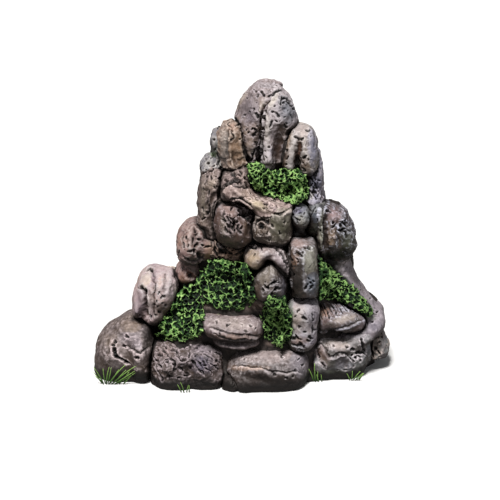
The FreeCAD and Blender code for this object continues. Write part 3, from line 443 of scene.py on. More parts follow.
        ("dent", (0.9, 0.6, 20, 1.1), (-6.22, -1.24), (-3.49, -2.15), (2.39, 4.86), (4.2, 5.53),
         (-0.3, -0.79), (3.36, -3.96), (5.6, 1.02)),
        ("dent", (2.2, 1.6, 20, 1.3), (-5.09, -0.79)),
        ("stain", (4.6, 4.6, 0, 98, 74, 52, 0.7), (-4.86, -1.24)),
        ("stain", (6, 7, 0, 118, 118, 92, 0.6), (3.34, -0.79)),
        ("stain", (6, 3, 10, 222, 204, 188, 0.5), (2.38, 7.33)),
    ],
    "upper_small_stone": [
        ("groove", (0.8, 1.1), ((-3.99, 2.14), (-2.6, 0.78), (-1.21, -1.03), (-0.73, -3.31))),
        ("groove", (0.5, 0.7), ((-1.29, 5.76), (-2.63, 3.5), (-1.24, 1.69), (1.49, 2.59))),
        ("dent", (0.8, 0.6, 0, 1.1), (-1.26, 3.5), (0.09, 4.4), (-2.65, 4.85), (1.06, 0.33),
         (-0.3, -1.03), (-3.07, 1.69), (2.4, 2.14)),
        ("stain", (3, 2.2, 0, 134, 128, 158, 0.85), (-0.81, 3.5)),
        ("stain", (5, 4, 0, 40, 42, 44, 0.9), (-1.14, -7.41)),
        ("stain", (2.4, 3.4, 0, 176, 170, 156, 0.5), (0.62, -1.49)),
    ],
    "right_grey_column": [
        ("groove", (0.7, 1), ((-3.64, -6.88), (-1.75, -9.62), (0.15, -12.36), (2.06, -15.58)),
         ((-3.2, -5.06), (-1.32, -7.34), (0.58, -10.08), (2.48, -12.82)),
         ((-2.31, -2.33), (-0.89, -5.06), (0.55, -7.79)),
         ((-4.07, -9.62), (-2.17, -12.36), (-0.27, -15.12))),
        ("dent", (0.8, 0.65, -30, 1.3), (-1.31, -7.79), (-0.35, -9.62), (0.19, -15.12),
         (1.52, -10.99), (-2.76, -3.69), (-0.92, -2.78), (0.5, -5.06), (1.93, -7.34),
         (-1.88, -0.52), (-0.01, -1.42), (1.57, -14.2), (-2.21, -9.62), (-0.78, -12.36),
         (-3.25, -1.42), (0.94, -3.24)),
        ("stain", (4.5, 15, 0, 132, 134, 160, 0.8), (0.03, -4.6)),
        ("stain", (3, 5, -30, 206, 204, 200, 0.7), (-3.1, -12.36)),
    ],
    "right_shoulder_slope": [
        ("groove", (0.6, 0.8), ((0.54, 2.83), (-1.27, 0.08), (-2.61, -3.14))),
        ("stain", (5, 3.4, 0, 156, 158, 164, 0.7), (-1.76, 1.91)),
        ("stain", (4, 4, 0, 110, 116, 130, 0.8), (-1.22, -3.14)),
        ("stain", (4, 8, 0, 46, 50, 38, 0.9), (-1.13, -9.6)),
        ("dent", (0.6, 0.5, 0, 0.9), (-0.39, 3.28), (-2.2, 0.54), (0.59, 0.08), (-3.09, -1.76)),
    ],
    "right_boulder": [
        ("valley", (1.3, 2, 0.75), ((-7.38, 8.58), (-7.75, 3.08), (-7.64, -2.92), (-7.31, -8.49))),
        ("valley", (1.1, 1.3, 0.5), ((-1.56, 5.83), (-2.65, 2.62), (-1.88, -1.07), (-1.3, -6.63))),
        ("groove", (0.8, 1.3), ((-0.92, 8.12), (-1.78, 5.37), (-3.11, 2.62), (-4.95, 1.7))),
        ("groove", (0.7, 1.2), ((-7.86, 9.49), (-6.02, 9.72), (-4.15, 8.58))),
        ("ridge", (0.6, 0.9), ((-2.13, -0.15), (-2.05, -4.31), (-2.21, -7.56))),
        ("groove", (1.1, 1.3), ((0.84, -8.95), (2.73, -10.12), (5.5, -9.42))),
        ("stain", (1.6, 12, 0, 178, 176, 160, 0.8), (-9.33, 0.77)),
        ("stain", (2.8, 8, 0, 160, 134, 110, 0.7), (-4.86, -2.92)),
        ("stain", (1.4, 10, 0, 60, 42, 32, 0.85), (-7.46, -0.15)),
        ("stain", (4.5, 7, 0, 58, 62, 42, 0.85), (2.61, -4.77)),
        ("stain", (4, 4, 0, 198, 166, 166, 0.6), (-3.68, 8.12)),
        # thin pale streak on the rib: painted highlight
        ("stain", (0.9, 4, 0, 214, 214, 220, 0.8), (-2.03, -5.23)),
        # black band along the bottom: painted shadow
        ("stain", (9, 3, 0, 16, 15, 12, 0.9), (-2.84, -11.28)),
        ("dent", (1.15, 0.8, 30, 1.7), (0.56, 4), (1.91, 5.37), (2.9, 2.62), (1.08, 1.24),
         (3.88, 0.31), (-0.34, 2.62), (4.74, 3.08), (2.06, -1.07), (-4.07, 4.45)),
        ("dent", (1.9, 1, 60, 2), (2.42, 3.54)), ("dent", (1.9, 1, 20, 2), (0.17, 0.31)),
        ("stain", (4.5, 5, 0, 44, 48, 34, 0.8), (2.18, -6.63)),
        ("stain", (5, 4, 0, 40, 33, 26, 0.8), (-5.68, -8.49)),
        ("stain", (1.3, 10, 0, 52, 38, 30, 0.9), (-7.8, 0.77)),
    ],
    "right_neck": [
        # dark patches along the top: painted shadow under the boulder above
        ("stain", (6, 5, 0, 14, 20, 12, 0.95), (-8.83, 6.07)),
        ("stain", (8, 3, 0, 26, 24, 20, 0.9), (-3.22, 7.96)),
        ("stain", (5, 4, -30, 24, 30, 18, 0.9), (-5.51, 4.66)),
    ],
    "right_slope_stone": [
        ("dent", (0.9, 0.7, 0, 1.2), (-0.12, 3.53), (2.91, -2.72), (-2.64, -8.52), (0.19, -7.55)),
        ("groove", (0.7, 0.9), ((-7.81, 7.84), (-6.38, 7.12), (-4.5, 7.84))),
        ("stain", (4, 8, -34, 190, 178, 188, 0.5), (1.9, -0.79)),
        ("stain", (7, 3, 0, 140, 134, 152, 0.6), (-1.66, -9.49)),
        ("stain", (3, 5, -35, 96, 120, 68, 0.6), (-1.85, -2.72)),
        ("stain", (6, 4, 0, 140, 134, 152, 0.55), (-4.5, -10.46)),
    ],
    "left_mid_boulder": [
        ("valley", (1.8, 1.5, 0.4), ((0.58, 10.5), (0.53, 6.82), (0.02, 3.12), (0.9, -0.6),
         (2.26, -3.86))),
        ("dent", (1.6, 0.9, 80, 1.9), (0.1, 9.12)), ("dent", (1.6, 0.9, 100, 1.9), (0.99, 6.36)),
        ("dent", (1.6, 0.9, 70, 1.9), (-0.44, 3.58)), ("dent", (1.6, 0.9, 110, 1.9), (1.39, 1.26)),
        ("dent", (1.6, 0.9, 80, 1.9), (0.43, -1.53)), ("dent", (1.6, 0.9, 60, 1.9), (2.26, -3.86)),
        ("ridge", (1.3, 0.8), ((-1.75, 9.12), (-2.27, 4.97), (-1.4, 0.8), (0.4, -3.39))),
        ("ridge", (1.2, 0.7), ((2.87, 8.2), (3.74, 3.58), (4.15, -1.53))),
        ("groove", (0.8, 1), ((-5.02, 7.28), (-5.55, 3.12), (-4.22, -1.06))),
        ("groove", (0.7, 1), ((6.1, 7.74), (7.92, 3.58), (8.35, -0.6))),
        ("dent", (1, 0.8, 10, 1.4), (-3.66, 4.97), (-2.79, 1.26), (-1.43, -1.06), (5.15, 4.97),
         (6.5, 0.8), (-4.66, 0.8), (4.19, 1.73), (2.35, 4.04)),
        ("groove", (1.1, 1.4), ((-4.73, -3.86), (-2.43, -5.73), (0.83, -6.2), (3.65, -4.79),
         (4.6, -2.93))),
        ("groove", (0.8, 1), ((-8.5, -6.2), (-7.98, -3.39), (-7, -0.6))),
        ("dent", (2.8, 1.8, 50, 2.6), (-1.82, -12.77)),
        ("stain", (4, 6, 0, 198, 170, 162, 0.5), (-2.26, 5.89)),
        ("stain", (3, 5, 0, 166, 130, 100, 0.6), (7.42, -0.6)),
        ("stain", (3.6, 2.4, 30, 112, 62, 40, 0.85), (-2.05, -12.3)),
        ("stain", (4, 3, 20, 150, 108, 84, 0.6), (-5.36, -14.18)),
        ("stain", (5, 5, 0, 98, 88, 84, 0.5), (-0.15, -9.95)),
    ],
    "left_pale_stone": [
        ("valley", (1.6, 1.3, 0.35), ((-2.06, 13.11), (-0.73, 9.82), (-0.12, 6.06), (0.03, 2.27),
         (-0.76, -1.53))),
        ("groove", (0.5, 0.7), ((-1.61, 12.17), (-0.3, 8.41), (0.31, 4.17), (-0.24, 0.37))),
        ("valley", (1.3, 1.9, 0.6), ((-8.6, 4.17), (-6.47, 4.64), (-5.12, 2.75), (-4.99, -1.53),
         (-4.87, -6.29), (-4.04, -11.08))),
        ("groove", (0.9, 1.4), ((-8.84, 3.93), (-6.71, 4.64), (-5.11, 2.98), (-4.96, -0.57))),
        ("valley", (1.2, 1.1, 0.3), ((-3.23, 3.22), (-1.91, -0.57), (-1.55, -5.34), (-2.13, -10.12))),
        ("groove", (1, 1.5), ((-4.65, 12.17), (-3.22, 13.34), (-1.61, 12.17))),
        ("valley", (1.4, 0.8, 0.15), ((4.44, 11.23), (5.28, 6.53), (4.25, 1.8))),
        ("valley", (1.2, 0.6, 0.1), ((8.15, 9.82), (8.53, 5.11), (7.05, 1.32))),
        ("groove", (0.5, 1), ((1.4, 0.37), (2.38, 2.27), (3.51, 0.37), (2.31, -1.05))),
        ("stain", (3.4, 5, 20, 234, 222, 196, 0.4), (-4.52, 7.94)),
        ("stain", (1.8, 8, 0, 216, 198, 194, 0.6), (-2.42, -2.48)),
        ("stain", (5, 5, 0, 110, 92, 82, 0.8), (2.19, -6.77)),
        ("stain", (2.4, 6, 0, 164, 146, 156, 0.7), (-7.6, -2.48)),
        ("stain", (1.6, 5, 0, 180, 156, 166, 0.6), (-0.74, 9.35)),
        ("stain", (4, 7, 0, 208, 200, 200, 0.5), (6.66, 5.58)),
        ("valley", (1, 1, 0.4), ((-0.69, 1.32), (-0.32, -2.95), (-0.89, -7.25), (-1.68, -11.08))),
        ("dent", (0.75, 0.7, 10, 1.1), (0.88, -2), (3.68, -2.95), (1.29, -4.86), (-0.21, -8.69),
         (-0.59, -4.38), (2.18, -7.25), (3.62, -5.82), (-1.12, -7.25), (5.06, -4.38),
         (-2.59, -9.64), (-7.77, -9.16), (4.22, 0.37)),
        ("valley", (1.1, 1, 0.5), ((-4.87, 3.22), (-4.75, -1.53), (-4.63, -6.29), (-4.04, -11.08))),
        ("stain", (6, 5, 0, 112, 94, 84, 0.6), (3.15, -5.82)),
    ],
    "arch_cap_stone": [
        ("dent", (0.6, 0.5, 0, 0.8), (-1.99, 3.24), (-5.63, 0.5), (0.29, 4.6), (-3.8, -2.25)),
        ("stain", (4, 5, 0, 206, 182, 150, 0.7), (-6.09, -1.34)),
        ("stain", (8, 2.4, 0, 206, 184, 180, 0.6), (-0.16, 4.15)),
        ("stain", (2, 6, -24, 206, 190, 196, 0.5), (7.18, -2.71)),
        ("groove", (1, 1.4), ((3.49, 3.69), (5.78, 2.32), (7.62, 0.04), (9.02, -3.17),
         (10.42, -6.85))),
        ("groove", (0.9, 1), ((-7.92, 4.6), (-6.09, 3.46), (-3.81, 4.15))),
        ("ridge", (1.6, 0.6), ((-6.54, -3.63), (-3.35, 0.04), (0.3, 2.32), (3.5, 1.41))),
    ],
    "arch_lower_stone": [
        ("valley", (0.8, 0.7, 0.3), ((-0.56, 9.02), (-1.01, 6.27), (-1.91, 3.51))),
        ("ridge", (1.2, 0.6), ((-0.11, 9.47), (0.37, 5.81), (1.3, 2.13))),
        ("ridge", (1.2, 0.5), ((-2.38, 7.18), (-4.66, 3.97), (-6.94, 0.28))),
        ("dent", (1.9, 0.8, -20, 1.7), (1.77, 0.74)), ("dent", (1.9, 0.8, 40, 1.7), (-2.35, -1.57)),
        ("groove", (0.8, 1), ((-2.35, -2.5), (-0.52, -0.41), (2.22, 0.74), (4.52, -0.18))),
        ("dent", (0.9, 0.7, 0, 1.1), (-2.82, 0.74), (3.59, 1.66), (-3.72, -2.96), (2.24, -2.5)),
        ("groove", (0.8, 0.8), ((-0.49, -6.67), (0.42, -3.89), (2.24, -2.03), (5.45, -2.03))),
        ("stain", (4, 6, 0, 186, 172, 156, 0.5), (-3.28, 3.51)),
        ("stain", (2.6, 7, 0, 112, 110, 124, 0.6), (6.36, -1.11)),
        ("stain", (3, 6, 0, 100, 80, 66, 0.6), (-6.47, -3.42)),
        ("stain", (4, 4, 0, 196, 184, 170, 0.5), (-0.09, 6.27)),
    ],
    "tall_column_stone": [
        ("dent", (2.2, 1.3, 30, 2.4), (-2.83, 6.52)), ("dent", (2.4, 0.9, 20, 1.9), (1.7, 9.25)),
        ("dent", (0.7, 0.65, 0, 1.1), (3.29, -6.81), (1.92, -7.5), (-5.73, 0.11), (-5.54, 3.78),
         (-3.26, 4.23), (3.78, -8.66), (1.02, -8.66), (2.35, -4.96), (4.66, -5.88),
         (2.87, -9.59), (-5.01, -3.11), (-2.79, 2.86), (-0.56, 7.43)),
        ("groove", (0.6, 1), ((-4.21, 7.89), (-2.86, 9.25), (-0.59, 9.71), (1.69, 10.16))),
        ("valley", (1.4, 1.6, 0.8), ((-6.98, 11.98), (-7.62, 7.43), (-7.35, 1.94),
         (-6.38, -3.58), (-5.83, -12.84))),
        ("ridge", (0.9, 0.6), ((-0.53, 5.61), (-0.24, 0.11), (0.06, -5.42), (0.14, -11.91))),
        ("stain", (4, 12, 0, 44, 36, 30, 0.95), (-3.59, -7.27)),
        ("stain", (3, 7, 0, 150, 112, 86, 0.7), (-4.61, 2.86)),
        ("stain", (3.4, 6, 0, 124, 132, 146, 0.85), (3.76, -7.27)),
        ("stain", (3.4, 7, 0, 206, 204, 186, 0.65), (2.7, 2.86)),
        ("stain", (6, 2.6, 0, 196, 164, 156, 0.6), (-2.43, 11.53)),
    ],
    "crevice_stone": [
        ("groove", (0.9, 1.3), ((-6.74, 8.76), (-5.85, 4.14), (-4.02, -0.51)),
         ((-4.45, 5.06), (-1.68, 1.82), (1.1, -0.04)), ((-0.74, 5.53), (2.5, 2.75), (5.75, 3.67)),
         ((1.56, -0.51), (4.35, 0.89), (7.14, 3.21)), ((-8.15, 6.92), (-7.72, 2.28), (-5.89, -1.44))),
        ("dent", (2.2, 1.7, 20, 2.2), (-4.01, 1.35)),
        ("dent", (0.8, 0.6, 0, 1.3), (-5.37, 6.45), (-2.14, 3.67), (0.64, 2.28), (3.89, 1.35),
         (6.22, 4.14), (2.51, 4.6), (-7.25, 3.21), (-1.23, -0.51)),
        ("stain", (9, 4, 0, 120, 86, 66, 0.7), (1.57, 1.35)),
        ("stain", (2.6, 3, 0, 130, 126, 140, 0.6), (-3.99, 4.6)),
    ],
    "left_ledge_stone": [
        ("ledge", (1.7, 6, 1), ((13.64, -1.41), (9.93, -1.88), (6.23, -0.93), (2.52, -0.93),
         (-1.19, -0.46), (-4.89, 0.72), (-8.59, 1.9), (-11.82, 2.84))),
        ("groove", (0.7, 0.8), ((-9.52, 0.48), (-4.9, -1.41), (-0.27, -2.35), (4.83, -2.35),
         (10.86, -2.83))),
        ("stain", (12, 3.6, 4, 222, 206, 198, 0.5), (-0.24, 3.78)),
        ("stain", (12, 1.6, 0, 126, 94, 74, 0.7), (0.66, -1.41)),
        # dark band beneath the ledge: painted shadow
        ("stain", (13, 2.6, 0, 40, 30, 26, 0.95), (0.65, -4.25)),
        ("stain", (2.6, 1.8, 0, 110, 156, 76, 0.9), (-6.67, 9.88)),
        ("stain", (14, 1.6, 0, 120, 96, 84, 0.6), (-0.22, 8.71)),
        ("dent", (0.9, 0.7, 10, 1), (-7.64, 4.73), (-2.09, 3.78), (3.92, 4.25), (8.54, 3.31),
         (6.23, 0.96), (-5.36, 0.01), (10.86, 1.9)),
    ],
    "centre_block": [
        ("dent", (1, 0.7, 10, 1.2), (-2.38, 8.28), (-1.83, 0.76), (0.43, 5), (-2.71, -3.98),
         (-3.74, 5.47), (0.98, -1.61), (2.89, -5.88), (-0.8, -7.78), (5.6, -0.66), (3.8, -4.45)),
        ("groove", (0.7, 1), ((4.09, 7.81), (4.84, 4.05), (4.43, 0.28), (5.19, -3.98))),
        ("groove", (0.9, 1.1), ((-5.95, -4.93), (-3.17, -4.45), (-0.37, -5.4))),
        ("groove", (1.1, 1.4), ((-5.46, -7.78), (-2.2, -8.02), (1.08, -9.21)),
         ((-3.11, -9.92), (-0.3, -10.64), (2.04, -11.83))),
        ("stain", (2.2, 13, 0, 84, 118, 66, 0.7), (-6.03, 3.11)),
        ("stain", (2.6, 13, 0, 166, 156, 170, 0.6), (5.06, 5)),
        ("stain", (5, 2, 0, 122, 90, 72, 0.75), (-1.76, -5.88)),
        ("stain", (3.4, 8, 0, 208, 188, 176, 0.5), (-2.82, 5.94)),
    ],
    "right_ledge_stone": [
        ("groove", (0.5, 0.9), ((-9.06, 7.3), (-6.94, 3.7), (-5.64, 0.1)),
         ((-7.15, 7.81), (-5.25, 4.99), (-4.15, 2.16)), ((-5.26, 7.3), (-3.16, 4.47), (-1.86, 1.64)),
         ((-2.74, 7.3), (-0.76, 4.99), (0.4, 2.67)), ((-0.46, 7.3), (1.63, 5.24), (2.92, 3.19)),
         ((2.07, 7.3), (3.77, 5.76), (4.67, 4.22)), ((-10.58, 7.3), (-8.65, 4.09), (-7.53, 0.87)),
         ((-11.55, 5.24), (-10.09, 2.55), (-9.44, -0.16)), ((4.12, 6.27), (5.7, 4.73), (6.47, 3.19)),
         ((-6.26, 6.27), (-4.54, 3.57), (-3.62, 0.87))),
        ("ledge", (0.9, 4, 1), ((11.12, 0.1), (6.59, -1.56), (2.83, -3.62), (-3.76, -5.18),
         (-8.83, -6.22), (-12.42, -4.14))),
        ("ridge", (1, 0.5), ((-5.41, 1.64), (-0.83, 0.87), (4.21, 2.16))),
        ("dent", (1.8, 1.3, 0, 1.8), (-13.1, 6.78)),
        ("groove", (0.45, 0.8), ((4.42, 3.96), (5.45, 3.29), (6.47, 3.19))),
        ("groove", (0.5, 0.7), ((5.33, -1.97), (7.07, -0.42), (8.03, 1.64))),
        ("stain", (5.5, 4, 30, 122, 88, 68, 0.75), (-6.98, 4.22)),
        ("stain", (8, 2.6, -10, 212, 196, 184, 0.6), (1.22, 0.1)),
        ("stain", (4, 4.4, 20, 150, 108, 80, 0.85), (-7.72, 3.62)),
    ],
    "far_right_stone": [
        ("groove", (0.9, 1.2), ((-5.49, 7.04), (-3.99, 5.07), (-3.64, 1.13), (-3.76, -3.32),
         (-2.21, -6.79))),
        ("groove", (0.5, 0.8), ((-1.13, 6.05), (-0.07, 2.61), (-0.43, -1.34))),
        ("dent", (0.8, 0.8, 0, 1.3), (-2.02, 3.6), (0.46, 1.13), (-1.37, -2.33), (1.83, 3.6),
         (0.14, -4.31)),
        ("stain", (4, 8, 0, 86, 70, 60, 0.85), (-2.44, 1.13)),
        ("stain", (2.4, 9, 0, 150, 138, 146, 0.6), (2.41, 0.64)),
    ],
    "bottom_right_boulder": [
        ("groove", (0.9, 1.3), ((5.74, 9.35), (6.77, 5.98), (7.1, 2.6), (8.8, 0.66))),
        ("groove", (0.7, 1), ((0.78, 0.18), (2.73, -2.25), (1.85, -5.17))),
        ("groove", (0.6, 0.9), ((2.72, -1.76), (4.55, 0.66), (6.94, -0.31))),
        ("groove", (0.8, 1.1), ((-14.9, 5.5), (-14.37, 1.63), (-12.89, -2.25), (-10.46, -5.66))),
        ("groove", (0.5, 0.5), ((-5.7, -6.63), (-2.87, -5.66), (-0.01, -6.63))),
        ("valley", (3, 0.9, 0.1), ((-3.9, -1.76), (-1.51, -3.22), (-0.5, -5.66))),
        ("stain", (5, 4, 0, 118, 110, 116, 0.75), (-3.41, -2.73)),
        ("stain", (3, 6, -20, 128, 96, 80, 0.75), (-12, 1.15)),
        ("stain", (8, 4, 0, 204, 184, 176, 0.65), (-5.01, 5.98)),
        ("stain", (5, 5, 0, 176, 162, 164, 0.5), (1.57, 6.94)),
        ("stain", (9, 2, 0, 80, 88, 52, 0.7), (-6.14, -8.1)),
        ("ledge", (1.5, 5, 0.9), ((0.79, -0.31), (-1.61, 1.63), (-4.46, 2.12), (-6.78, 0.18),
         (-9.15, 0.18), (-10.62, 3.57), (-13.03, 6.46), (-15.37, 5.02))),
        ("dent", (1.15, 0.8, 20, 1.5), (1.72, 0.66), (3.63, -0.31), (4.99, 2.12), (2.12, 3.57),
         (8.27, 3.08), (6.03, -1.76), (-0.75, 5.02), (-7.36, 5.5)),
        ("stain", (13, 3, 0, 170, 158, 172, 0.6), (-2.29, 10.79)),
        ("stain", (6, 4, -16, 150, 142, 158, 0.55), (3.33, 11.75)),
        ("stain", (7, 3.5, 0, 208, 188, 182, 0.45), (-6.46, 7.91)),
    ],
    "bottom_centre_boulder": [
        ("dent", (0.9, 0.7, 0, 1.1), (12.43, 5.64), (13.85, 2.78), (10.63, 0.4), (9.27, -2.47),
         (6.02, -2.95), (0.43, -1.04), (-13.49, 5.64), (4.09, 6.59)),
        ("valley", (2.4, 1, 0.3), ((-15.36, -1.04), (-8.85, -2.95), (-1.41, -4.39))),
        # dark band under the front edge: painted shade
        ("stain", (19, 6, 0, 54, 42, 35, 0.9), (-5.13, -4.39)),
        ("stain", (5, 9, 0, 160, 152, 162, 0.7), (12.91, 3.74)),
        ("stain", (10, 1.6, 0, 186, 148, 120, 0.6), (-9.79, 1.35)),
        ("stain", (16, 3.6, 0, 216, 196, 194, 0.6), (-4.24, 8.01)),
        ("ledge", (1.3, 6, 0.8), ((14.37, -1.51), (10.63, 0.4), (6.93, -0.56), (2.74, 0.4),
         (-0.5, -0.08), (-5.15, 1.83), (-10.71, 2.07), (-14.89, 2.78), (-19.52, 1.83))),
        ("stain", (15, 3, -4, 218, 200, 198, 0.5), (-3.33, 10.38)),
        # painted shade under the front edge
        ("stain", (18, 4.6, 0, 40, 33, 30, 0.85), (-4.2, -5.83)),
        ("stain", (19, 5, 0, 44, 36, 32, 0.9), (-4.2, -4.39)),
        ("stain", (19, 3, 0, 26, 21, 18, 0.8), (-5.12, -6.79)),
    ],
    "bottom_small_stone": [
        ("stain", (7, 7, 0, 58, 52, 54, 0.8), (1.38, -0.96)),
        ("groove", (0.6, 0.8), ((-0.63, 1.64), (0.88, -0.44), (0.36, -3.05))),
        ("stain", (5, 5, 0, 16, 13, 11, 0.85), (0.28, -2.82)),
    ],
    "bottom_left_mid_boulder": [
        ("groove", (1.1, 1.6), ((-5.96, 10.95), (-3.22, 8.09), (0.04, 8.57), (1.93, 10.47))),
        ("groove", (0.8, 1.2), ((1.91, 9.52), (2.32, 5.23), (4.14, 1.89), (5.95, -1.95))),
        ("groove", (0.6, 1.3), ((5.58, 5.23), (8.99, 2.7), (11.11, -0.51)),
         ((4.61, 2.84), (7.34, 1.02), (8.76, -1.47)), ((8.38, 5.71), (11.81, 4.37), (13.93, 2.37)),
         ((9.7, -0.99), (12.45, -2.34), (13.88, -4.36)), ((11.15, 3.8), (14.59, 2.7), (16.72, 0.93)),
         ((5.04, -0.03), (7.08, -1.37), (7.81, -3.4)), ((13.97, 6.19), (16.24, 5.09), (17.2, 3.32)),
         ((7.34, -2.91), (9.86, -3.78), (11.06, -5.32)), ((6.96, 3.8), (8.99, 2.22), (9.71, -0.03)),
         ((12.06, 1.41), (14.57, -0.17), (15.76, -2.43)), ((5.96, -1.47), (8.47, -2.58), (9.67, -4.36))),
        ("dent", (1, 0.75, 20, 1.6), (-11.65, 5.23), (-5.11, 6.67), (-7.99, 1.89), (-1.45, 2.84),
         (-7.19, -4.84), (-10.49, -6.29), (-13.57, 2.84), (-0.55, 0.45), (2.7, -0.99),
         (-2.82, 4.28), (12.11, 6.67), (7.39, 1.41), (9.72, 0.45), (-11.31, -0.51),
         (-4.75, 0.45), (-13.02, 6.67), (-4.33, -1.95), (0.43, 3.32), (-9.72, 8.57),
         (4.68, 8.09), (14.85, -0.03), (1.24, -4.36), (-2.52, -5.81)),
        ("groove", (0.75, 1.3), ((-13.15, 0.45), (-12.29, -2.91), (-10.03, -6.77)),
         ((-10.34, 0.93), (-9.37, 2.84), (-7.03, 3.56), (-4.72, 2.37), (-4.29, -0.03),
          (-5.28, -2.91)),
         ((-4.62, 7.62), (-2.81, 4.76), (0.43, 3.8)), ((-11.13, 7.62), (-8.38, 5.71), (-6.11, 2.84)),
         ((-2.89, -0.03), (-0.13, -2.43), (2.19, -3.88))),
        ("stain", (5, 5, 0, 84, 80, 104, 0.7), (8.33, 1.41)),
        ("stain", (7, 3, 0, 190, 176, 186, 0.6), (9.33, 7.62)),
        ("stain", (5, 3, 0, 166, 144, 140, 0.5), (-8.83, 6.67)),
        # black along the foot: painted shade
        ("stain", (26, 3.4, 0, 18, 16, 14, 0.9), (-2.12, -9.67)),
        ("stain", (19, 4, 0, 16, 13, 11, 0.9), (1.63, -10.16)),
    ],
    "bottom_left_boulder": [
        ("ledge", (1.1, 5, 0.8), ((14.58, -0.68), (12.48, -2.52), (10.64, -4.2), (8.1, -2.88),
         (4.54, -1.46), (2.25, -0.68))),
        ("groove", (0.9, 1.1), ((-3.26, -4.62), (-1.76, -5.84), (1.04, -6.89), (3.83, -8.58),
         (5.61, -9.38))),
        ("dent", (1.3, 0.9, 20, 1.5), (-2.05, 1.16), (-2.16, -2.25), (2.5, -0.94), (-1.47, -4.89),
         (-1.94, -3.31), (9.04, -6.21), (3.57, -8.48), (-3.12, -0.15), (3.66, 3.52),
         (-0.74, -6.21)),
        ("valley", (1.4, 0.8, 0.15), ((-6.11, 2.47), (-5.48, -1.73), (-5.88, -5.94))),
        ("valley", (1.2, 0.4, 0.05), ((-1.4, 5.61), (2.09, 2.47), (4.55, -1.2))),
        ("stain", (6, 5, 0, 160, 136, 114, 0.5), (5.39, 8.7)),
        ("stain", (7, 3, 15, 172, 160, 172, 0.45), (9.45, 1.47)),
        ("stain", (4, 12, 10, 60, 54, 54, 0.8), (14.3, 6.77)),
        # black along the foot: painted shade
        ("stain", (15, 4.5, 0, 20, 18, 14, 0.9), (-0.06, -15.58)),
        ("stain", (7, 4, 10, 190, 176, 184, 0.45), (7.12, 2.92)),
        ("stain", (4, 4, 0, 168, 148, 134, 0.4), (-5.21, 1.47)),
        ("stain", (5, 2.4, 14, 214, 202, 212, 0.45), (9.87, -0.46)),
    ],
}

# Stones that run into one another without a joint.
MERGE_GROUPS = [
    ("brow_ledge", "upper_right_boulder", "crinkled_ledge"),
    ("summit_left_slab", "summit_right_slab"),
    ("right_boulder", "right_neck", "right_slope_stone"),
    ("right_grey_column", "right_shoulder_slope"),
    ("right_shoulder_slope", "right_boulder"),
    ("left_finger_stone", "left_small_finger"),
    ("left_small_finger", "left_upper_column"),
    ("left_mid_boulder", "crevice_stone"),
    ("bottom_right_boulder", "right_slope_stone"),
    ("centre_block", "bottom_right_boulder"),
    ("arch_lower_stone", "centre_block"),
]

# Bedding between the stones: a node, then offset x, y, z from its box centre,
# half sizes x, y, z, mm, and lean, degrees.
BEDDING = [
    ("bottom_left_boulder", 14.44, 7.87, -0.75, 6.6, 14, 14.34, 0),
    ("left_ledge_stone", -5.04, 17.28, -14.38, 18.34, 13, 5.34, 4),
    ("left_ledge_stone", 8.98, 18.28, -0.35, 8.59, 12, 9.38, 0),
    ("left_ledge_stone", -9.27, 19.28, 2.71, 7.52, 10, 4.62, 0),
    ("centre_block", -9.65, 16.44, -4.23, 9.69, 13, 14.09, 0),
    ("centre_block", 5.53, 17.44, -9.24, 6.48, 14, 14.05, 0),
    ("right_ledge_stone", 1.13, 10.55, -12.43, 15.21, 15, 4.82, -5),
    ("right_neck", -3.75, 6.79, 3.59, 9.71, 12, 13.05, -8),
    ("right_neck", 2.98, 5.79, -10.94, 7.59, 13, 9.36, -30),
    ("right_slope_stone", -1.3, 2.94, -4.85, 8.74, 15, 10.4, -30),
    ("right_shoulder_slope", 1.86, 7.5, -10.62, 6.4, 12, 15.21, 0),
    ("right_shoulder_slope", 7.03, 7.5, -1.73, 7.43, 12, 5.45, -20),
    ("upper_left_boulder", -11.45, 15.31, 3.73, 6.35, 12, 13.92, 4),
    ("crevice_stone", 0.33, 9.09, -2.66, 11.69, 10, 7.11, 0),
    ("left_mid_boulder", -2.11, 5.99, -13.75, 8.6, 12, 6.89, 0),
    ("left_upper_column", 1.29, 8.96, 12.07, 4.22, 10, 7.06, 0),
    ("left_upper_column", -0.8, 4.96, 3.32, 6.33, 11, 8.12, 0),
    ("upper_right_boulder", 4.28, 13.97, -4.52, 12.66, 12, 12.73, 0),
    ("tall_column_stone", -3.69, 11.03, -9.17, 5.3, 12, 13.96, 0),
    ("arch_lower_stone", -5.58, 16.49, -12.64, 6.42, 12, 8.11, 0),
    ("bottom_small_stone", -2.22, 14.66, -1.64, 6.44, 14, 9.09, 0),
    ("bottom_right_boulder", -15.04, 7.43, -7.37, 5.45, 14, 7.96, 0),
    ("summit_right_slab", -1.08, 6.54, -19.45, 9.5, 10, 11.76, 0),
    ("left_finger_stone", 5.66, 8.79, -6.51, 4.22, 9, 7.19, 0),
]
BEDDING_SQUARENESS = 2.2

